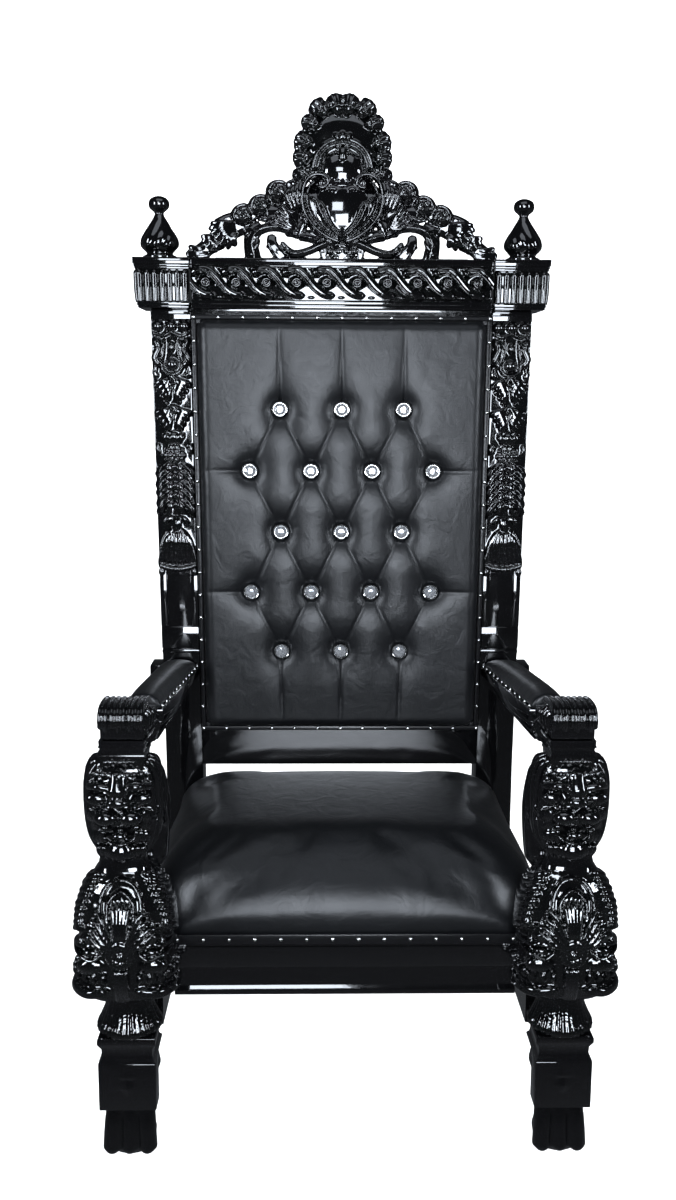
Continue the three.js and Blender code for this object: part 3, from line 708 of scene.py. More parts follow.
def post_carving(bm):
    def pair(points, *rest, **more):
        for side in (-1, 1):
            stroke(bm, [spot(side * dx, z, proud) for dx, z, proud in points], *rest, **more)

    for dx in (-25, 0, 25):
        bead(bm, spot(dx, 1392, 3), (11, 11, 11))
    swag = [spot(-36, 1380, 2), spot(-18, 1373, 5), spot(0, 1379, 5), spot(18, 1373, 5), spot(36, 1380, 2)]
    stroke(bm, swag, 2.6, 6, blunt=0.2)
    pair([(33, 1372, 2), (24, 1350, 6), (31, 1328, 6), (16, 1312, 3)], 8, 10, grooves=3, blunt=0.5)
    pair([(14, 1370, 2), (16, 1340, 6), (20, 1322, 4)], 3, 7)
    bead(bm, spot(0, 1351, 4), (6, 7, 11))
    cup = [spot(-19, 1330, 2), spot(-17, 1306, 5), spot(0, 1297, 6), spot(17, 1306, 5), spot(19, 1330, 2)]
    stroke(bm, cup, 3, 7, blunt=0.2)
    bead(bm, spot(0, 1317, 5), (12, 11, 12))
    pair([(30, 1318, 2), (34, 1300, 4), (26, 1292, 2)], 5, 6, grooves=1)
    for level, reach in ((1296, 1.0), (1238, 1.08)):
        pair([(1, level, 4), (10, level - 18, 8), (22, level - 40, 2)], 4, 9, grooves=1)
        for k in range(4):
            tip = (34 * reach - 7 * k, level - 20 - 11 * k)
            leaf = [(4, level - 4, 3), (16 - 3 * k, level - 12 - 7 * k, 9), (*tip, 3)]
            pair(leaf, 6.4, 9, grooves=1, blunt=0.6, taper=(0.5, 1.2))
            if level > 1250:
                pair([(tip[0] - 3, tip[1] + 1, 5), (tip[0] + 1, tip[1] - 3, 3)], 4, 5)
    for dx in (-14, 0, 14):
        sepal = [spot(dx * 0.4, 1160, 4), spot(dx, 1174, 9), spot(dx * 1.4, 1182 - abs(dx) * 0.5, 3)]
        stroke(bm, sepal, 6.5, 8, grooves=1)
    for ring, count in ((0, 1), (9.5, 6), (17, 10)):
        for i in range(count):
            a = 2 * math.pi * i / count
            bead(bm, spot(ring * math.cos(a), 1137 + ring * math.sin(a), 9 - ring * 0.3), 5.4, sides=10)
    pair([(30, 1160, 2), (33, 1150, 4), (30, 1140, 2)], 5, 7)
    for k in range(5):
        z = 1120 - 19 * k
        leaf = [(2, z + 6, 5), (14, z + 2, 11), (27, z - 10, 9), (35, z - 31 - 5 * (k % 2), 2)]
        pair(leaf, 7.2, 10, grooves=2, taper=(0.5, 1.3))
        pair([(3, z - 2, 8), (10, z - 9, 13), (17, z - 27, 6)], 5.2, 8, grooves=1)
        bead(bm, spot(0, z - 6, 9), (4.5, 6, 8), sides=10)
    pair([(4, 1012, 4), (16, 1008, 7), (22, 998, 3)], 4, 6, grooves=1)
    stroke(bm, [spot(0, 1014, 3), spot(0, 1000, 8), spot(0, 984, 5)], 9, 9, grooves=2)
    for k in range(-3, 4):
        fold = [spot(k * 1.4, 990, 5), spot(k * 8, 962, 11 - abs(k)), spot(k * 11, 912, 4)]
        stroke(bm, fold, 6.4, 9 - abs(k) * 0.7, grooves=1, deep=0.5, blunt=0.7)
    for side in (-1, 1):
        hem = [
            spot(side * x, z, proud)
            for x, z, proud in ((4, 992, 4), (20, 972, 6), (36, 930, 5), (36, 906, 3))
        ]
        stroke(bm, hem, 2.6, 7, blunt=0.4)
        bead(bm, spot(side * 33, 900, 3), (7, 6, 9), sides=12)
    for k in range(-5, 6):
        bead(bm, spot(k * 6.4, 906 + 0.25 * k * k, 4), (4.2, 6, 6), sides=10)


PANEL_HALF = 38
relief = bmesh.new()
post_carving(relief)
block(relief, spot(-PANEL_HALF, 894, 3), spot(PANEL_HALF, 1404, -10), soft=1)
relief = melted(relief, 1.45 * coarseness, relax=1, share=0.38)
print("post relief:", len(relief.verts), "points")

# %% Post
POST_INNER, POST_OUTER, POST_BACK, POST_TOP = 286.3, 362.5, 295.0, 1426


def splayed(x, y, z):
    """The post's faces both sweep back towards its foot, the rear one a little farther."""
    if y < (POST_FACE + POST_BACK) / 2:
        return Vector((x, POST_FACE + 111 * max(0.0, 1 - z / 330) ** 1.6, z))
    return Vector((x, POST_BACK + 115 * max(0.0, 1 - z / 380) ** 1.5, z))


post = bmesh.new()
foot_corner, top_corner = (POST_INNER, POST_FACE, 0), (POST_OUTER, POST_BACK, POST_TOP)
block(post, foot_corner, top_corner, soft=1.5, cuts=40, shape=splayed)
block(post, spot(-PANEL_HALF, 1404, 4), spot(PANEL_HALF + 0.3, 1425.5, -4), soft=1.4)
# The frame of the sunk panel: two rails across and a narrow stile at each side.
for x0, x1, z0, z1 in ((-38, 38, 742, 787), (-38, 38, 908, 914), (-38, -23, 787, 908), (24, 38, 787, 908)):
    block(post, spot(x0, z0, 4), spot(x1, z1, -2), soft=1.4)
block(post, spot(-PANEL_HALF, 732, 3), spot(PANEL_HALF, 739, -2), soft=1.2)
post = leaned(joined(post, relief))
piece_pair("carved_post", post, lacquer, "lacquer", "back_post", crease=50)

# %% [markdown]
# ## Capitals, finials and the top rail
#
# Each capital is a fluted block between courses, cut on a router: its flutes are half-round sticks
# side by side. It is drawn as a stack of blocks, which keep their arrises crisp.

# %% Capitals
CAP_INNER, CAP_OUTER, CAP_FRONT, CAP_BACK = 285.6, 391.0, 197, 322
# Each course of the capital: how far it stands in, its foot, its top, and how round its arrises are.
COURSES = [
    (7, 1426.6, 1432, 1), (5, 1431, 1440, 2), (9, 1438, 1505, 1), (3, 1501, 1507, 1.5),
    (1.5, 1505, 1512, 2), (0, 1511, 1523.7, 1),
]


def capital():
    wood = bmesh.new()
    for inset, foot, top, soft in COURSES:
        low = (CAP_INNER + max(0, inset - 4), CAP_FRONT + inset, foot)
        block(wood, low, (CAP_OUTER - inset, CAP_BACK - inset, top), soft=soft)
    for i in range(7):
        x = CAP_INNER + 9 + (CAP_OUTER - CAP_INNER - 21) * i / 6
        stroke(wood, [(x, 206, 1435), (x, 203.6, 1460), (x, 203.0, 1502)], 5.6, 6, blunt=0.3)
    for i in range(8):
        y = 208 + 14.2 * i
        flute = [(CAP_OUTER - 9, y, 1435), (CAP_OUTER - 6.6, y, 1460), (CAP_OUTER - 6, y, 1502)]
        stroke(wood, flute, 5.6, 6, blunt=0.3, front=(1, 0, 0))
    return leaned(wood)


piece_pair("fluted_capital", capital(), lacquer, "lacquer", "capital")

# %% [markdown]
# The finial above a capital is turned on a lathe and then carved with slanting gadroons. Spinning a
# profile does the first, and pushing the surface in and out by angle and height does the second.

# %% Finials
FINIAL_LINE = [
    (0, 0), (33, 0), (34, 2), (34, 6), (28, 9), (26, 12), (30, 17), (35.5, 24), (37, 31), (35, 41),
    (30, 51), (24, 61), (18, 71), (12.5, 80), (9.6, 86), (9.4, 90), (13, 94), (18.5, 99), (20.6, 105),
    (20.2, 111), (17, 117), (10, 121), (4, 122.6), (0, 122.8),
]
CUT_FROM, CUT_TO = 13, 84
FINIAL_OUT = 4


def gadrooned(a, z):
    """Eight slanting lobes round the bulb, which fade out over its foot and under its neck."""
    if not CUT_FROM < z < CUT_TO:
        return 1.0
    lobe = 0.10 * abs(math.cos(4 * (a + (z - 30) * 0.014))) - 0.05
    return 1 + lobe * min(1, (z - CUT_FROM) / 8, (CUT_TO - z) / 12)


def finial():
    low, high = mm("finial_right")
    centre = (low + high) / 2
    steps = 72
    outline = [(r, 0, z) for r, z in FINIAL_LINE]
    smooth = [through(outline, t / steps) for t in range(1, steps)]
    wood = bmesh.new()
    profile = [FINIAL_LINE[0]] + [(max(0.5, p.x), p.z) for p in smooth] + [FINIAL_LINE[-1]]
    made = turned(wood, profile, 64, gadrooned)
    bmesh.ops.translate(wood, verts=made, vec=(centre.x + FINIAL_OUT, centre.y, low.z))
    return wood


piece_pair("gadrooned_finial", finial(), lacquer, "lacquer", "finial")

# %% [markdown]
# The rail between the capitals carries a running guilloche, whose S-shaped ribbons pass round ringed
# buttons. One ribbon is drawn and repeated at an even pitch, and the run is sawn off at both ends.

# %% Top rail
RAIL_HALF, RAIL_BACK = 284.5, 290
# The rail's board and its mouldings: their face, foot, top, and how round their arrises are.
MOULDINGS = [
    (218, 1428, 1522, 1), (206, 1510, 1523.6, 1.4), (209, 1506, 1511, 1), (208, 1426.5, 1436, 1.4),
    (211, 1435, 1444, 1.4),
]
PITCH, BUTTON_LINE = 57.0, 1477
RIBBON = [
    (-26, 214, 1490), (-16, 211, 1500), (2, 209, 1502), (18, 207, 1489), (36, 207, 1467),
    (54, 209, 1454), (74, 214, 1453),
]
GROUND_TOP = 1508


def ground(x, y, z):
    """The face that the guilloche is cut from leans back towards its foot."""
    return Vector((x, y + (0.16 * (GROUND_TOP - z) if y < 230 else 0), z))


def ringed_button(bm, x):
    """A button with its ring, and the small leaves above and below the ribbons beside it."""
    bead(bm, (x, 216, BUTTON_LINE), (15, 5, 15), sides=24)
    angles = [k * math.pi / 6 for k in range(13)]
    ring = [(x + 7.5 * math.cos(a), 211, BUTTON_LINE + 7.5 * math.sin(a)) for a in angles]
    stroke(bm, ring, 2.4, 5, blunt=0.05)
    bead(bm, (x, 210, BUTTON_LINE), 3.2, sides=10)
    bead(bm, (x - 27, 214, 1505), (8, 5, 4), sides=10)
    bead(bm, (x + 27, 214, 1449), (8, 5, 4), sides=10)


rail = bmesh.new()
for face, foot, top, soft in MOULDINGS:
    block(rail, (-RAIL_HALF, face, foot), (RAIL_HALF, RAIL_BACK, top), soft=soft)
carving = bmesh.new()
block(carving, (-283, 212, 1446), (283, 240, GROUND_TOP), soft=0.5, shape=ground)
for i in range(-6, 6):
    x = (i + 0.5) * PITCH
    stroke(carving, [(x + px, y, z) for px, y, z in RIBBON], 8.8, 10, blunt=0.25)
    stroke(carving, [(x + px - 5.5, y - 6.5, z - 4) for px, y, z in RIBBON[1:-1]], 2.2, 6, blunt=0.3)
    if -6 < i < 5:
        ringed_button(carving, x)
carving = melted(carving, 1.45 * coarseness, relax=1, share=0.42)
for side in (-1, 1):
    sliced(carving, (284 * side, 0, 0), (side, 0, 0))
rail = leaned(joined(rail, carving))
piece("guilloche_rail", rail, lacquer, "lacquer", "top_rail", crease=50)

# %% [markdown]
# ## The crest
#
# The crest is fret-sawn from one board and carved on both its face and its edges. It could be
# sculpted by hand, but strokes keep every leaf where it can be found again. Points are given as
# distance from the middle, height above the rail, and relief forward of the board.

# %% Crest: points and volutes
CREST_Y, CREST_Z = 245.0, 1524.3


def on_crest(u, w, proud=0.0):
    """A point on the crest."""
    return (u, CREST_Y - proud, CREST_Z + w)


def rim(line, proud):
    """Points of (distance, height) on the crest, all at one relief."""
    return [on_crest(u, w, proud) for u, w in line]


def spiral(u, w, radius, start, turns, proud, tight):
    """Points of a volute that winds in clockwise towards (u, w), for a stroke to follow.

    Start is its first angle in degrees, and tight the share of the radius that is left at its eye.
    """
    count = max(6, int(10 * turns))
    made = []
    for k in range(count + 1):
        s = k / count
        r = radius * (1 - (1 - tight) * s)
        a = math.radians(start) - 2 * math.pi * turns * s
        made.append(on_crest(u + r * math.cos(a), w + r * math.sin(a), proud + 5 * s))
    return made


crest = bmesh.new()
print("the crest stands on the rail at", CREST_Z, "mm")

# %% [markdown]
# The crown is a dished plate ringed with cockle shells, over a hood and a smooth dome. Each cockle is
# one broad grooved stroke with rows of beads across it.

# %% Crest: the crown
def cockle(bm, foot, tip, half, rows=2):
    """One cockle of the rim: a grooved lobe from foot to tip, crossed by rows of small beads."""
    (u0, w0), (u1, w1) = foot, tip
    long = math.hypot(u1 - u0, w1 - w0)
    along, across = ((u1 - u0) / long, (w1 - w0) / long), ((w0 - w1) / long, (u1 - u0) / long)

    def on_lobe(s, side, proud):
        u = u0 + along[0] * s + across[0] * side
        return on_crest(u, w0 + along[1] * s + across[1] * side, proud)

    ridge = [on_lobe(-2, 0, 8), on_lobe(long * 0.5, 0, 12), on_lobe(long, 0, 2)]
    made = stroke(bm, ridge, half, 14, grooves=3, deep=0.3, blunt=0.75, taper=(0.45, 1.25))
    made += stroke(bm, [on_lobe(long * 0.3, 0, -4), on_lobe(long * 0.98, 0, -4)], half * 0.95, 11, blunt=0.8)
    for row in range(rows):
        for k in (-1.5, -0.5, 0.5, 1.5):
            s = long * (0.42 + 0.26 * row) - 1.2 * k * k
            made += bead(bm, on_lobe(s, k * half * (0.36 + 0.08 * row), 22 - 5 * row), 2.7, sides=8)
    return made


# The rim's cockles on one side: foot, tip and half width of each, from the top down.
COCKLES = [
    ((6, 275), (17, 318), 17), ((27, 276), (57, 301), 19), ((40, 257), (76, 266), 15),
    ((57, 221), (88, 231), 20), ((59, 195), (91, 195), 19),
]


def hood(half, rise, proud):
    """An arch a little over half a turn long, which stands on the heart."""
    angles = [math.pi * (k / 10 * 1.1 - 0.05) for k in range(11)]
    return [on_crest(half * math.cos(a), 172 + rise * math.sin(a), proud) for a in angles]


def crest_crown(bm):
    """The dished plate with its rim of cockles, and the hood over the dome."""
    bead(bm, on_crest(0, 224, -3), (79, 10, 88), sides=48)
    bead(bm, on_crest(0, 186, -3), (87, 10, 42), sides=48)
    bead(bm, on_crest(0, 226, 0), (66, 13, 62), sides=48)
    half = []
    for foot, tip, size in COCKLES:
        half += cockle(bm, foot, tip, size)
    half += cockle(bm, (54, 174), (93, 158), 13, rows=1)
    both_sides(bm, half)
    stroke(bm, hood(55, 58, 10), 4.6, 11, blunt=0.2)
    stroke(bm, hood(46.5, 49, 13), 3.6, 10, blunt=0.2)
    bead(bm, on_crest(0, 172, 6), (43, 22, 40), sides=36)
    for u, w in ((-13, 239), (0, 242), (13, 239)):
        tongue = [on_crest(u * 0.4, 228, 14), on_crest(u * 0.8, w - 6, 18), on_crest(u, w + 2, 10)]
        stroke(bm, tongue, 5.2, 7, blunt=0.6)
    for side in (-1, 1):
        bead(bm, on_crest(side * 9, 210, 20), 5, sides=12)
        brow = [(2, 216, 17), (14, 218, 17), (30, 208, 14), (40, 184, 12)]
        stroke(bm, [on_crest(side * u, w, proud) for u, w, proud in brow], 2.8, 7, blunt=0.3)
        curl = [(4, 208, 20), (9, 202, 21), (15, 205, 19)]
        stroke(bm, [on_crest(side * u, w, proud) for u, w, proud in curl], 2.2, 6, blunt=0.3)
    drop = [on_crest(0, 214, 18), on_crest(0, 200, 25), on_crest(0, 183, 25)]
    stroke(bm, drop, 8, 7, taper=(1.2, 0.6), blunt=0.7)


crest_crown(crest)
print("crown:", len(crest.verts), "points")

# %% [markdown]
# Under the crown a heart swells between scrolling rims.

# %% Crest: the heart
def crest_heart(bm):
    """The swelling heart, with two rims and a scroll on each side of it."""
    bead(bm, on_crest(0, 99, 3), (57, 23, 64), sides=44)
    border = [on_crest(0, 30, 2), on_crest(36, 60, 0), on_crest(54, 100, 0), on_crest(50, 140, 0)]
    half = stroke(bm, border, 21, 14)
    outer = [
        (0, 32), (28, 43), (52, 62), (69, 88), (75, 118), (70, 145), (56, 160), (40, 162), (28, 154),
        (28, 143), (38, 137), (46, 142),
    ]
    half += stroke(bm, rim(outer, 13), 4.2, 12, blunt=0.1)
    inner = [(2, 36), (24, 50), (46, 70), (61, 94), (66, 120), (60, 143), (50, 152)]
    half += stroke(bm, rim(inner, 15), 2.6, 9, blunt=0.2)
    vein = [(0, 42), (16, 54), (31, 72), (40, 92), (48, 110), (58, 122)]
    half += stroke(bm, rim(vein, 20), 3.0, 7, blunt=0.3)
    half += stroke(bm, rim([(3, 50), (16, 62), (26, 78), (33, 96), (44, 112)], 22), 2.0, 6, blunt=0.3)
    half += bead(bm, on_crest(39, 147, 16), 7.5, sides=14)
    half += bead(bm, on_crest(9.5, 149, 21), 6, sides=14)
    half += stroke(bm, rim([(24, 150), (18, 158), (9, 159), (2, 154)], 16), 3.2, 8, blunt=0.3)
    half += stroke(bm, rim([(10, 131), (18, 135), (26, 132)], 22), 2.2, 5)
    both_sides(bm, half)
    bead(bm, on_crest(0, 112, -2), (78, 11, 60), sides=40)


crest_heart(crest)
print("with the heart:", len(crest.verts), "points")

# %% [markdown]
# The wings are pierced: rolled leaves and volutes step down to a ribbed fan at the end, and a branch
# arches over the openings. Flat strokes behind the leaves are the board that is left between them.

# %% Crest: the wings
def crest_wing(bm):
    """One pierced wing, and its mirror image."""
    half = []

    def leaf(points, *rest, **more):
        half.extend(stroke(bm, [on_crest(*p) for p in points], *rest, **more))

    # The grooved leaf that stands beside the heart, and its board behind.
    leaf([(72, 40, -2), (92, 80, -2), (92, 124, -2), (80, 160, -2)], 20, 11)
    for k in range(4):
        fold = [(76 + 7 * k, 152 - 5 * k, 5), (80 + 8 * k, 128 - 2 * k, 13), (75 + 6 * k, 96 - 2 * k, 5)]
        leaf(fold, 4.4, 9, blunt=0.5)
    leaf([(72, 90, 4), (70, 74, 9), (76, 60, 10), (86, 44, 6)], 5.5, 9, grooves=1, blunt=0.4)
    leaf([(88, 150, 3), (98, 146, 8), (104, 130, 6)], 6, 9, grooves=1)
    # The fan-shaped leaf under the first volute.
    for k in range(5):
        rib = [(82, 50 + 1.5 * k, 8), (103 + 2 * k, 88 - 7 * k, 12), (116 + 5 * k, 106 - 9 * k, 6)]
        leaf(rib, 4.2, 9, blunt=0.45)
    leaf([(80, 44, 0), (110, 84, 0), (150, 84, 0)], 21, 12)
    # Three volutes step down the wing.
    for u, w, r, start in ((120, 131, 24, 150), (153, 103, 24, 140), (185, 84, 25, 130)):
        half.extend(bead(bm, on_crest(u, w, 0), (r, 13, r), sides=28))
        outer = spiral(u, w, r - 3.5, start, 1.15, proud=6, tight=0.3)
        half.extend(stroke(bm, outer, 4.6, 10, blunt=0.2))
        inner = spiral(u, w, r - 11, start - 60, 0.7, proud=10, tight=0.4)
        half.extend(stroke(bm, inner, 3.0, 8, blunt=0.3))
        half.extend(bead(bm, on_crest(u - 2, w - 1, 13), 5.5, sides=12))
    leaf([(160, 82, 3), (146, 76, 9), (126, 84, 6)], 4, 7, blunt=0.4)
    # The long branch that arches over the opening.
    branch = [(76, 40, 2), (104, 57, 7), (133, 62, 8), (158, 54, 7), (169, 34, 6), (166, 8, 4), (164, -8, 2)]
    leaf(branch, 9, 13, grooves=2, deep=0.26, blunt=0.2, taper=(0.7, 1.5))
    leaf([(168, 66, 0), (173, 34, 0), (170, -6, 0)], 13, 12, blunt=0.3)
    leaf([(150, 66, 0), (170, 58, 0), (186, 54, 0)], 12, 11, blunt=0.4)
    leaf([(158, 42, 9), (163, 22, 15), (174, 6, 8)], 6, 8, blunt=0.5)
    # The ribbed shell at the wing's end, in three tiers.
    ends = [(248, 68), (252, 58), (249, 46), (241, 34), (230, 23), (216, 18), (202, 24)]
    for k, (u, w) in enumerate(ends):
        middle = ((198 + u) / 2 + 2, (66 - 2 * k + w) / 2 + 2, 12)
        rib = [(194 + 0.5 * k, 68 - 3.5 * k, 5), middle, (u, w, 2)]
        leaf(rib, 5.4, 10, grooves=1, blunt=0.55, taper=(0.6, 1.2))
    leaf([(180, 76, 0), (214, 58, 0), (246, 42, 0)], 23, 11)
    leaf([(196, 84, 0), (218, 78, 0), (240, 66, 0)], 10, 10)
    for k, (u, w) in enumerate([(266, 42), (265, 31), (254, 20), (240, 12)]):
        rib = [(232, 44 - 3 * k, 3), ((234 + u) / 2, (46 - 2 * k + w) / 2, 9), (u, w, 2)]
        leaf(rib, 5.2, 9, grooves=1, blunt=0.55, taper=(0.7, 1.2))
    leaf([(220, 40, 0), (250, 26, 0), (270, 10, 0)], 17, 11)
    leaf([(252, 26, 2), (270, 20, 7), (291, 25, 2)], 5.5, 9, grooves=1)
    leaf([(246, 12, 1), (272, 8, 4), (296, 12, 1)], 9, 11, grooves=1)
    # The S-shaped stem along the foot, its hook and the leaf that stands up from it.
    stem = [(6, 34, 5), (34, 30, 9), (62, 17, 9), (88, 11, 8), (112, 18, 6)]
    leaf(stem, 8, 13, grooves=2, deep=0.26, blunt=0.25)
    leaf([(92, 14, 5), (104, 22, 9), (115, 34, 4)], 5, 9, blunt=0.5)
    upright = [(104, -4, 3), (122, 14, 8), (132, 32, 8), (131, 50, 3)]
    leaf(upright, 10.5, 12, grooves=1, blunt=0.4, taper=(1.3, 0.8))
    leaf([(132, 20, 3), (142, 29, 4)], 5, 8)
    leaf([(40, 36, 4), (62, 42, 8), (84, 46, 4)], 9, 11, grooves=2)
    leaf([(30, 44, 6), (52, 52, 8), (72, 54, 4)], 5, 9, grooves=1)
    leaf([(28, 32, 2), (36, 16, 5), (30, -4, 3)], 7, 12, grooves=1)
    both_sides(bm, half)


crest_wing(crest)
berries = [(-23, 16, 7), (23, 16, 7), (-7, 16, 6.5), (7, 16, 6.5), (-12, 4, 5.5), (12, 4, 5.5), (0, 27, 6)]
for u, w, r in berries:
    bead(crest, on_crest(u, w, 13), r, sides=14)
stroke(crest, [on_crest(0, 34, 2), on_crest(0, 14, 4), on_crest(0, -8, 2)], 26, 13)
block(crest, (-240, CREST_Y - 8, CREST_Z - 6), (240, CREST_Y + 8, CREST_Z + 3.4), soft=1)
crest = melted(crest, 1.4 * coarseness, relax=2, share=0.3)
sliced(crest, (0, 0, CREST_Z + 0.2), (0, 0, -1))
piece("carved_crest", leaned(crest), lacquer, "lacquer", "crest", crease=60)

# %% [markdown]
# ## The arms
#
# An arm is a padded rail between the back post and the front leg. Its rail is stepped, and over the
# leg it ends in a head like a rolled leaf, cut into ribs that curl over the top and end in beads.
# The stepped rail stays a stack of crisp blocks, drawn on a unit cube and stretched along the arm's
# slope. Only the head is melted, because it is the part that a carver rounds.

# %% Arms
ARM_HEAD_Y, ARM_LENGTH, ARM_INNER, ARM_OUTER, ARM_SPLAY = -270, 494, 303, 371, 12.5
ARM_FOOT_Z, ARM_CLIMB = 703, 0.09
# The steps down the rail's side: how far each stands in, and the shares of the drop it spans.
STEPS = ((0, 0, 0.42), (2.5, 0.38, 0.5), (5, 0.48, 0.76), (7, 0.72, 0.82), (9.5, 0.8, 1))


def arm_top(y):
    """The height of the arm's upper face, which climbs from the post to the leg."""
    return ARM_FOOT_Z - ARM_CLIMB * (y - POST_FACE)


def arm():
    wood = bmesh.new()
    for inset, up, down in STEPS:

        def slope(x, y, z):
            at = ARM_HEAD_Y + ARM_LENGTH * y
            left, right = ARM_INNER + inset - ARM_SPLAY * y, ARM_OUTER - inset
            drop = 34 + 0.036 * (POST_FACE - at)
            return Vector((left + (right - left) * x, at, arm_top(at) - drop * (up + (down - up) * (1 - z))))

        block(wood, (0, 0, 0), (1, 1, 1), soft=1.2, shape=slope)
    # The tenon block where the arm meets the post's outer face.
    block(wood, (363.5, 222, 666), (392, 283, 708), soft=1.5)
    head = bmesh.new()
    block(head, (LEG_X - 41, -367, 723), (LEG_X + 29, -272, 758), soft=4)
    roll = [(LEG_X - 43, -350, 752), (LEG_X - 7, -350, 752), (LEG_X + 31, -350, 752)]
    stroke(head, roll, 16, 14, blunt=0.05, front=(0, -0.5, 0.86))
    block(head, (LEG_X - 50, -300, 700), (LEG_X + 10, -268, 756), soft=4)
    for i in range(8):
        x = LEG_X - 38.5 + 65 * i / 7
        tip = 742 + 5 * (i % 2)
        rib = [(x, -370, tip), (x, -375, 757), (x, -366, 770), (x, -346, 774), (x, -318, 773), (x, -288, 768)]
        stroke(head, rib, 4.3, 8.5, front=(0, -0.6, 0.8), blunt=0.16)
        bead(head, (x, -373, tip), (5, 5.5, 5), sides=12)
    for i in range(3):
        y = -352 + 14 * i
        curl = [(LEG_X - 42 - 2 * i, y, 742), (LEG_X - 43 - 2 * i, y, 756), (LEG_X - 38, y, 766)]
        stroke(head, curl, 5, 6, front=(-1, 0, 0))
        bead(head, (LEG_X - 43 - 2 * i, y, 741), 5, sides=12)
    spray = [(LEG_X - 30, -330, 700), (LEG_X - 44, -310, 716), (LEG_X - 52, -290, 738)]
    stroke(head, spray, 12, 9, grooves=2, front=(-1, 0, 0))
    head = melted(head, 1.4 * coarseness, relax=1, share=0.3)
    return joined(wood, head)


piece_pair("scrolled_arm", arm(), lacquer, "lacquer", "arm", crease=50)

# %% [markdown]
# ## The seat rails
#
# The rails are planed mouldings: a fascia with a bead along its upper edge over a hollow step. Each
# is one section drawn straight along its length, and its edges stay as crisp as a plane leaves them.
# The boards that a padded cover or a post hides keep their solids and are only painted.

# %% Seat rails
def rail_section(face, back, low, high):
    """The moulding's section: the depth behind the face and the height of each corner."""
    into = math.copysign(1, back - face)
    step = low + (high - low) * 0.55
    hollow = [
        (7, low), (4.5, low + 3), (4.5, low + 9), (7, low + 12), (9.5, low + 16), (9.5, step - 8),
        (6, step - 5), (4, step - 1),
    ]
    fascia = [
        (1, step), (0, step + 2), (0, high - 8), (2, high - 7), (2, high - 5), (0, high - 4),
        (0, high - 1.5),
    ]
    front_line = [(face + depth * into, z) for depth, z in hollow + fascia]
    return [(face + 1 * into, high), (back, high), (back, low)] + front_line


rails = bmesh.new()
low, high = mm("front_rail")
run(rails, rail_section(low.y, high.y, low.z, high.z), low.x, high.x)
piece("front_apron", rails, lacquer, "lacquer", "front_rail", crease=30)
low, high = mm("side_rail_right")
side = bmesh.new()
for v in run(side, rail_section(high.x, low.x, low.z, high.z), low.y, high.y):
    v.co = (v.co.y, v.co.x, v.co.z)
bmesh.ops.recalc_face_normals(side, faces=side.faces)
piece_pair("side_apron", side, lacquer, "lacquer", "side_rail", crease=30)
for name in ("seat_board", "rear_rail", "back_board", "bottom_rail"):
    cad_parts[name].data.materials.clear()
    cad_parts[name].data.materials.append(lacquer)
print("plain boards painted")

# %% [markdown]
# ## Upholstery
#
# The pads are foam under stretched faux leather. Each starts as a closed shape a little under its
# full size, is remeshed evenly, and is then blown up as cloth for twenty frames with no gravity, so
# that the cover finds its own tension between the places where it is tacked down. A cap on how far
# a point may move keeps the pad inside the space the frame leaves for it.

# %% Cloth helper
BLOWING_FRAMES = 20


def slab(bm, across, along):
    """A closed slab of two grids: its top at z = 1 and its bottom at z = 0, from -1 to 1 each way."""
    bmesh.ops.create_grid(bm, x_segments=across, y_segments=along, size=1)
    grown = bmesh.ops.extrude_face_region(bm, geom=list(bm.faces))["geom"]
    for v in vertices_in(grown):
        v.co.z = 1
    bmesh.ops.recalc_face_normals(bm, faces=bm.faces)
    return list(bm.verts)


def stuffed(bm, voxel, pressure, cap, held, press=0):
    """Blows a closed shape in millimetres up as cloth. Held tells which points are tacked down.

    Cap is the farthest that a point may move, and press the number of times that the cover is
    smoothed flat afterwards.
    """
    rough = melted(bm, voxel, relax=2)
    for v in rough.verts:
        v.co *= MM
    mesh = bpy.data.meshes.new("cover")
    rough.to_mesh(mesh)
    rough.free()
    cover = bpy.data.objects.new("cover", mesh)
    scene.collection.objects.link(cover)
    start = [v.co.copy() for v in mesh.vertices]
    tacks = cover.vertex_groups.new(name="tacks")
    tacks.add([i for i, co in enumerate(start) if held(co * 1000)], 1.0, "ADD")
    cloth = cover.modifiers.new("cloth", "CLOTH")
    cloth.settings.quality = 5
    cloth.settings.mass = 0.4
    cloth.settings.use_pressure = True
    cloth.settings.uniform_pressure_force = pressure
    cloth.settings.vertex_group_mass = "tacks"
    cloth.settings.tension_stiffness = cloth.settings.compression_stiffness = 30
    cloth.settings.bending_stiffness = 2.0
    cloth.settings.effector_weights.gravity = 0
    for frame_number in range(1, BLOWING_FRAMES + 1):
        scene.frame_set(frame_number)
    blown = bpy.data.meshes.new_from_object(cover.evaluated_get(bpy.context.evaluated_depsgraph_get()))
    made = bmesh.new()
    made.from_mesh(blown)
    moved = 0.0
    for v, co in zip(made.verts, start):
        shift = v.co - co
        if shift.length > cap * MM:
            shift = shift.normalized() * cap * MM
        moved = max(moved, shift.length)
        v.co = (co + shift) * 1000
    for _ in range(press):
        bmesh.ops.smooth_vert(
            made, verts=made.verts, factor=0.5, use_axis_x=True, use_axis_y=True, use_axis_z=True
        )
    bpy.data.objects.remove(cover)
    scene.frame_set(1)
    print(f"blown up by at most {moved * 1000:.1f} mm over {len(made.verts):,} points")
    return made


# %% Seat cushion
SEAT_WIDE, BETWEEN_LEGS, BETWEEN_POSTS = 340, 286, 284
TACKED_BELOW = 372


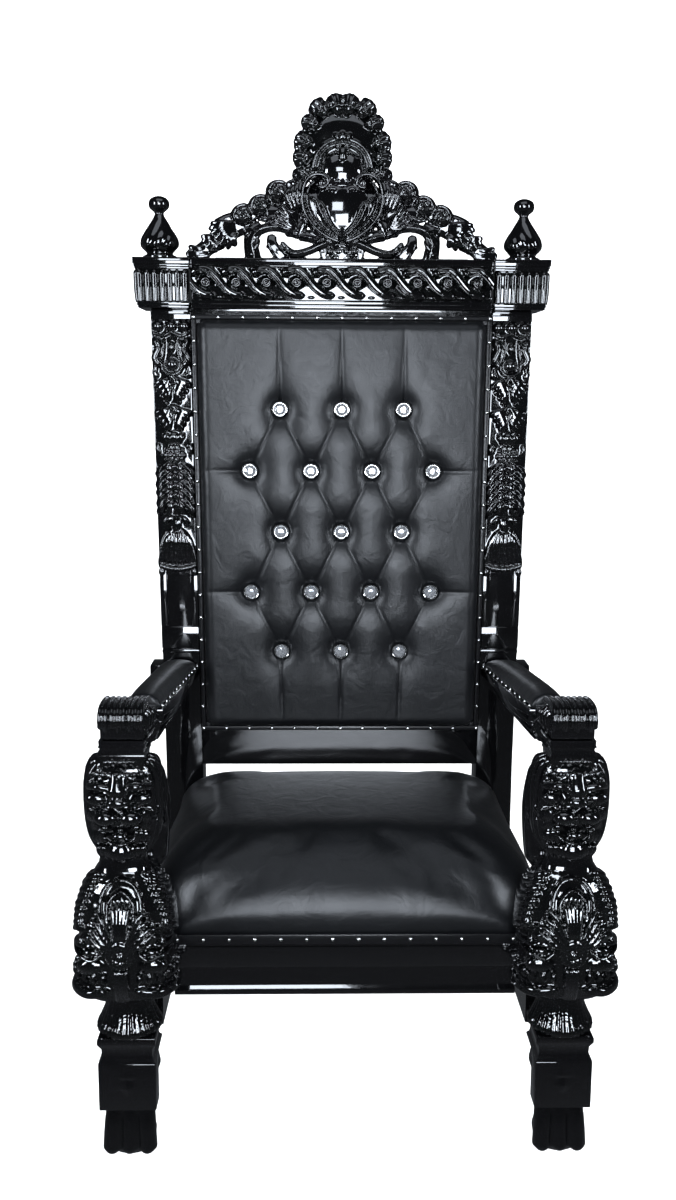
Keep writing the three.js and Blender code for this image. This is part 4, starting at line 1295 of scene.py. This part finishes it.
def seat_half_width(y):
    """Half the seat's width, drawn in between the front legs and between the back posts."""
    if y < 200:
        return BETWEEN_LEGS + (SEAT_WIDE - BETWEEN_LEGS) * min(1, max(0, (y + 276) / 16)) ** 0.5
    return SEAT_WIDE - (SEAT_WIDE - BETWEEN_POSTS) * min(1, max(0, (y - 208) / 14)) ** 0.7


def seat_pad():
    low, high = mm("seat_cushion")
    base = low.z + 0.4
    pad = bmesh.new()
    # The crown falls to a round nose in front, and rolls over the back and the sides.
    for v in slab(pad, 66, 60):
        u, t = v.co.x, (v.co.y + 1) / 2
        y = low.y + 2 + (high.y - low.y - 5) * t
        fore = max(0.3, (1 - (1 - min(1.0, t / 0.4)) ** 4) ** 0.6)
        aft = 0.35 + 0.65 * math.sin(min(1.0, (1 - t) / 0.09) * math.pi / 2) ** 0.6
        side = 0.36 + 0.64 * max(0.0, 1 - abs(u) ** 9) ** 0.5
        rise = (high.z - 2 - base) * fore * aft * side * (1 - 0.05 * u * u)
        v.co = (u * seat_half_width(y), y, base + max(14, rise) * v.co.z)
    return stuffed(pad, voxel=7.5, pressure=4.0, cap=8.0, held=lambda p: p.z < TACKED_BELOW, press=5)


def upholstered(cover):
    """Smooths a blown-up cover."""
    smooth = cover.modifiers.new("smooth", "SUBSURF")
    smooth.levels = smooth.render_levels = 1


upholstered(piece("seat_cushion_cover", seat_pad(), leather, "leather", "seat_cushion", crease=180))

# %% [markdown]
# The back is deep-buttoned: seventeen ties pull the cover into the foam in rows of three and four,
# and the slack between them is folded into pleats. Diagonal pleats join neighbouring buttons, and
# straight ones run out to the border from the outer rows, so each diamond stands up like a pillow.
# A ruled grid is drawn back by a formula here, because cloth would have to be sewn to every tie.

# %% Buttoned back
STEP, ROW_RISE, FIRST_ROW = 59.5, 122.5, 740
BACK_HALF, BACK_MIDDLE, BACK_RISE = 276, 993, 412
ROWS = [[(2 * i - n + 1) * STEP for i in range(n)] for n in (3, 4, 3, 4, 3)]
HEIGHTS = [FIRST_ROW + ROW_RISE * row for row in range(len(ROWS))]
buttons = [(x, z) for z, line in zip(HEIGHTS, ROWS) for x in line]
pleats = []
for row in range(4):
    low_z, high_z = HEIGHTS[row], HEIGHTS[row + 1]
    for x in ROWS[row]:
        pleats += [((x, low_z), (w, high_z)) for w in ROWS[row + 1] if abs(abs(w - x) - STEP) < 1]
pleats += [((x, HEIGHTS[0]), (x, 590)) for x in ROWS[0]]
pleats += [((x, HEIGHTS[4]), (x, 1398)) for x in ROWS[4]]
for z in (HEIGHTS[1], HEIGHTS[3]):
    pleats += [((s * 3 * STEP, z), (s * 270, z)) for s in (-1, 1)]


def pulled(x, z):
    """How far the cover is drawn back at a place on the buttoned back, in millimetres.

    Each button makes a deep pit in a shallow dish. Each pleat makes a sharp crease in a soft valley,
    which fades towards the border or, between two buttons, towards its middle.
    """
    near = min(math.hypot(x - bx, (z - bz) * 0.85) for bx, bz in buttons)
    depth = 14 * math.exp(-((near / 14) ** 1.2)) + 6 * math.exp(-((near / 38) ** 2))
    reach = 50
    for (ax, az), (bx, bz) in pleats:
        beside = min(ax, bx) - reach < x < max(ax, bx) + reach
        if beside and min(az, bz) - reach < z < max(az, bz) + reach:
            dx, dz = bx - ax, bz - az
            s = max(0.0, min(1.0, ((x - ax) * dx + (z - az) * dz) / (dx * dx + dz * dz)))
            off = math.hypot(x - ax - s * dx, z - az - s * dz)
            outward = ax == bx or az == bz
            fade = (1 - s) ** 0.6 if outward else 1 - 1.3 * s * (1 - s)
            fold = 4.5 * math.exp(-off / 2.4) + 3.0 * math.exp(-((off / 17) ** 2))
            depth += fold * fade * min(1, near / 12)
    return depth


EDGE_ROLL, DEEPEST, TACKED_BACK = 22, 226.0, 231.0


def back_pad():
    pad = bmesh.new()
    across, along = int(176 / coarseness), int(262 / coarseness)
    bmesh.ops.create_grid(pad, x_segments=across, y_segments=along, size=1)
    for v in pad.verts:
        x, z = v.co.x * BACK_HALF, BACK_MIDDLE + v.co.y * BACK_RISE
        in_x, in_z = BACK_HALF - abs(x), BACK_RISE - abs(z - BACK_MIDDLE)
        corner = math.hypot(max(0, EDGE_ROLL - in_x), max(0, EDGE_ROLL - in_z))
        roll = max(0.0, 1 - (min(EDGE_ROLL, corner) / EDGE_ROLL) ** 2) ** 0.5
        swell = (1 - (x / BACK_HALF) ** 2) * (1 - ((z - BACK_MIDDLE) / BACK_RISE) ** 4)
        y = 216 - EDGE_ROLL * roll - 7 * swell + pulled(x, z) * min(1, min(in_x, in_z) / 14)
        v.co = (x, min(y, DEEPEST), z)
    rim_edges = [e for e in pad.edges if e.is_boundary]
    turned_in = bmesh.ops.extrude_edge_only(pad, edges=rim_edges)["geom"]
    for v in vertices_in(turned_in):
        v.co.y = TACKED_BACK
    bmesh.ops.holes_fill(pad, edges=[e for e in pad.edges if e.is_boundary])
    bmesh.ops.recalc_face_normals(pad, faces=pad.faces)
    return leaned(pad)


back = piece("buttoned_back_cover", back_pad(), leather, "leather", "back_pad", crease=60)

# %% [markdown]
# An arm pad is a long slab with a rounded crown, a little lower at both ends. It is blown up like the
# seat, but far less, because there is little foam in it.

# %% Arm pads
PAD_FRONT, PAD_LENGTH, PAD_INNER, PAD_OUTER, PAD_SPLAY = -267, 490, 306, 368, 12


def arm_pad():
    pad = bmesh.new()
    for v in slab(pad, 14, 90):
        u, t = v.co.x, (v.co.y + 1) / 2
        y = PAD_FRONT + PAD_LENGTH * t
        inner, outer = PAD_INNER - PAD_SPLAY * t + 1.5, PAD_OUTER - 1.5
        crown = (27 - 6 * t) * max(0.0, 1 - abs(u) ** 2.4) ** 0.6
        crown *= 1 - 0.5 * t**10
        crown *= 1 - 0.3 * (1 - t) ** 12
        v.co = ((inner + outer) / 2 + u * (outer - inner) / 2, y, arm_top(y) + 0.5 + (5 + crown) * v.co.z)
    return stuffed(pad, voxel=5.5, pressure=4.0, cap=4.0, held=lambda p: p.z < arm_top(p.y) + 5)


for cover in piece_pair("arm_pad_cover", arm_pad(), leather, "leather", "arm_pad", crease=180):
    upholstered(cover)

# %% [markdown]
# ## Gimp, nails and buttons
#
# The gimp covers the tacks along every edge of the covers. It is a soft-edged strip, because its
# weave is fine enough for the finish alone to show it.

# %% Gimp
GIMP_FRONT, GIMP_HALF, GIMP_INNER = 211, 285.5, 276
# The tape round the back pad: along its top, along its foot, and up both sides.
BACK_TAPES = [
    (-GIMP_HALF, GIMP_HALF, 1405, 1414), (-GIMP_HALF, GIMP_HALF, 571.5, 581),
    (-GIMP_HALF, -GIMP_INNER, 580, 1406), (GIMP_INNER, GIMP_HALF, 580, 1406),
]


def gimp_ring():
    tape = bmesh.new()
    for x0, x1, z0, z1 in BACK_TAPES:
        block(tape, (x0, GIMP_FRONT, z0), (x1, 231.4, z1), soft=3.2)
    return leaned(tape)


piece("back_gimp", gimp_ring(), gimp, "gimp", "back_trim")
tape = bmesh.new()
block(tape, (-290.5, -296, 344), (290.5, -290.2, 362), soft=2.6)
piece("seat_gimp_front", tape, gimp, "gimp", "seat_trim_front")
for name in ("right", "left"):
    low, high = mm(f"seat_trim_{name}")
    tape = bmesh.new()
    block(tape, low, high, soft=2.4)
    piece(f"seat_gimp_{name}", tape, gimp, "gimp", f"seat_trim_{name}")

# %% [markdown]
# Domed nails hold the gimp. They are driven about 46 mm apart round the back, and a little closer
# round the seat and along the arms. A nail is a flattened ball of few faces, because there are more
# than a hundred of them.

# %% Nails
def nail(bm, at, facing):
    """A domed nail head 7.6 mm across, facing a way out of the work."""
    shell = bmesh.new()
    bmesh.ops.create_uvsphere(shell, u_segments=10, v_segments=7, radius=3.8)
    bmesh.ops.scale(shell, verts=shell.verts, vec=(1, 1, 0.72))
    turn = Vector((0, 0, 1)).rotation_difference(Vector(facing)).to_matrix()
    bmesh.ops.rotate(shell, verts=shell.verts, cent=(0, 0, 0), matrix=turn)
    bmesh.ops.translate(shell, verts=shell.verts, vec=at)
    laid(bm, shell)


NAIL_X, NAIL_Y, LOW_NAILS, HIGH_NAILS = 281, 210.6, 576.3, 1409.5
nails = bmesh.new()
for i in range(13):
    for z in (HIGH_NAILS, LOW_NAILS):
        nail(nails, (-NAIL_X + 2 * NAIL_X * i / 12, NAIL_Y, z), (0, -1, 0))
for i in range(1, 18):
    for x in (-NAIL_X, NAIL_X):
        nail(nails, (x, NAIL_Y, LOW_NAILS + 833.2 * i / 18), (0, -1, 0))
piece("back_nails", leaned(nails), nickel, "crystal")

SEAT_NAILS_Z = 353
nails = bmesh.new()
for i in range(14):
    nail(nails, (-284.7 + 43.8 * i, -296.4, SEAT_NAILS_Z), (0, -1, 0))
for i in range(11):
    for side in (-1, 1):
        nail(nails, (side * 351.4, -255 + 45.5 * i, SEAT_NAILS_Z), (side, 0, 0))
for i in range(12):
    y = -258 + 42.5 * i
    z = arm_top(y) + 4.6
    inner = PAD_INNER - 0.5 - PAD_SPLAY * (y - PAD_FRONT) / PAD_LENGTH
    for side in (-1, 1):
        nail(nails, (side * inner, y, z), (-side, 0, 0.3))
        nail(nails, (side * (PAD_OUTER + 0.5), y, z), (side, 0, 0.3))
piece("seat_and_arm_nails", nails, nickel, "crystal")

# %% [markdown]
# A crystal button is a cut stone in a nickel dish on the end of a tie. Both are turned: the dish with
# many sides so that it looks round, the stone with twelve, which are its facets. Each is given a
# turn of its own about its axis, as real ones end up.

# %% Crystal buttons
DISH = [(0, 0), (14, 0), (15.4, 2), (15.4, 5), (14, 6.6), (12.8, 6), (12.6, 4), (0, 3.5)]
GEM = [(0, 3.6), (12.4, 5), (12.2, 6.2), (9.6, 9.4), (6, 10.8), (0, 11.2)]
BUTTON_Y = 204
gems, dishes = bmesh.new(), bmesh.new()
for x, z in buttons:
    place_at = Matrix.Translation((x, BUTTON_Y, z))
    stand = place_at @ Matrix.Rotation(math.pi / 2, 4, "X") @ Matrix.Rotation(x, 4, "Z")
    for v in turned(dishes, DISH, 24) + turned(gems, GEM, 12):
        v.co = stand @ v.co
button_nodes = [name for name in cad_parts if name.startswith("button_")]
piece("crystal_buttons", leaned(gems), crystal, "crystal", *button_nodes, crease=5)
piece("button_dishes", leaned(dishes), nickel, "crystal")

# %% [markdown]
# ## Studio
#
# The throne stands on a sweep of white acrylic that glows evenly, as a studio's light table does,
# so that the ground stays clean white right up to the feet. Black lacquer shows what it
# mirrors, so the sweep is kept out of its reflections, and five lamps make all the highlights: a tall
# soft box at each side, a wide dim panel overhead, a broad box in front for the upholstery, and a
# smaller one above it, to the left, for the crest and the cornice. The room behind them is almost
# dark, a little lighter towards the floor, so that faces turned downwards aren't lost.

# %% Floor and backdrop
paper, tree, skin, place = finish_called("white_acrylic_sweep")
skin.inputs["Roughness"].default_value = 0.6
skin.inputs["Emission Color"].default_value = linear("#ffffff")
skin.inputs["Emission Strength"].default_value = 1.0
haze = add_node(tree, "ShaderNodeTexNoise", Vector=(place, "Object"), Scale=3.0, Detail=2.0)
shade = add_node(
    tree, "ShaderNodeMix", {"data_type": "RGBA"}, _0=(haze, "Fac"), _6=linear("#f4f4f4"),
    _7=linear("#fafafa"),
)
tree.links.new(shade.outputs[2], skin.inputs["Base Color"])
WIDTH, FRONT_EDGE, BEND_FROM, RADIUS, TOP = 9, -3.2, 1.2, 1.0, 4.5
bend = [(BEND_FROM + math.sin(a), RADIUS - math.cos(a)) for a in [k * math.pi / 16 for k in range(1, 8)]]
wall = BEND_FROM + RADIUS
line = [(FRONT_EDGE, 0.0), (BEND_FROM, 0.0), *bend, (wall, RADIUS), (wall, TOP)]
sweep = bmesh.new()
verts = [sweep.verts.new((-WIDTH / 2, y, z)) for y, z in line]
edges = [sweep.edges.new(pair) for pair in zip(verts, verts[1:])]
grown = bmesh.ops.extrude_edge_only(sweep, edges=edges)["geom"]
bmesh.ops.translate(sweep, verts=vertices_in(grown), vec=(WIDTH, 0, 0))
bmesh.ops.recalc_face_normals(sweep, faces=sweep.faces)
mesh = bpy.data.meshes.new("studio_sweep")
sweep.to_mesh(mesh)
sweep.free()
mesh.materials.append(paper)
mesh.shade_smooth()
floor = bpy.data.objects.new("studio_sweep", mesh)
floor.visible_glossy = False
scene.collection.objects.link(floor)


# %% Lamps
LAMP_COLOUR, ROOM_COLOUR = "#ecf4ff", "#eef5ff"


def lamp(name, at, aim, size, brightness):
    """A soft box of a width and height in metres. Its brightness is that of its face, at any size."""
    data = bpy.data.lights.new(name, "AREA")
    data.shape = "RECTANGLE"
    data.size, data.size_y = size
    data.color = linear(LAMP_COLOUR)[:3]
    data.energy = brightness * math.pi * size[0] * size[1]
    made = bpy.data.objects.new(name, data)
    made.location = at
    made.rotation_euler = (Vector(aim) - Vector(at)).to_track_quat("-Z", "Y").to_euler()
    scene.collection.objects.link(made)


lamp("tall_box_left", (-2.3, -1.7, 1.75), (0, 0, 1.1), (0.40, 1.3), 30)
lamp("tall_box_right", (2.3, -1.5, 1.75), (0, 0, 1.1), (0.30, 1.2), 28)
lamp("overhead_panel", (0.0, -0.9, 3.4), (0, 0.1, 1.0), (2.2, 1.2), 1.2)
lamp("front_box", (0.03, -2.7, 1.36), (0, 0, 1.1), (1.0, 0.92), 19)
lamp("high_box", (-0.35, -2.7, 2.42), (0, 0, 1.3), (0.9, 0.6), 12)
world = bpy.data.worlds.new("dark_room")
scene.world = world
world.use_nodes = True
tree = world.node_tree
tree.nodes["Background"].inputs["Color"].default_value = linear(ROOM_COLOUR)
way = add_node(tree, "ShaderNodeTexCoord")
height = add_node(tree, "ShaderNodeSeparateXYZ", Vector=(way, "Generated"))
glow = add_node(
    tree, "ShaderNodeMapRange", Value=(height, "Z"), From_Min=-1.0, From_Max=0.1, To_Min=0.1,
    To_Max=0.025,
)
tree.links.new(glow.outputs["Result"], tree.nodes["Background"].inputs["Strength"])
scene.view_settings.view_transform = "Standard"

# %% [markdown]
# The camera stands a little to the left, at about the height of the buttoned back, and looks slightly
# down. Its lens is as long as its sensor is wide, which is a mild wide angle.

# %% Camera
EYE = (-0.0542, -2.195, 1.2676)
PITCH_DOWN, YAW, ROLL = 9.91, 1.15, 0.3
lens = bpy.data.cameras.new("viewpoint")
lens.lens = lens.sensor_width = 36.0
lens.clip_start, lens.clip_end = 0.05, 50
viewpoint = bpy.data.objects.new("viewpoint", lens)
scene.collection.objects.link(viewpoint)
viewpoint.matrix_world = (
    Matrix.Translation(EYE)
    @ Euler((math.radians(90 - PITCH_DOWN), 0, math.radians(-YAW))).to_matrix().to_4x4()
    @ Matrix.Rotation(math.radians(ROLL), 4, "Z")
)
scene.camera = viewpoint
print("camera at", EYE)
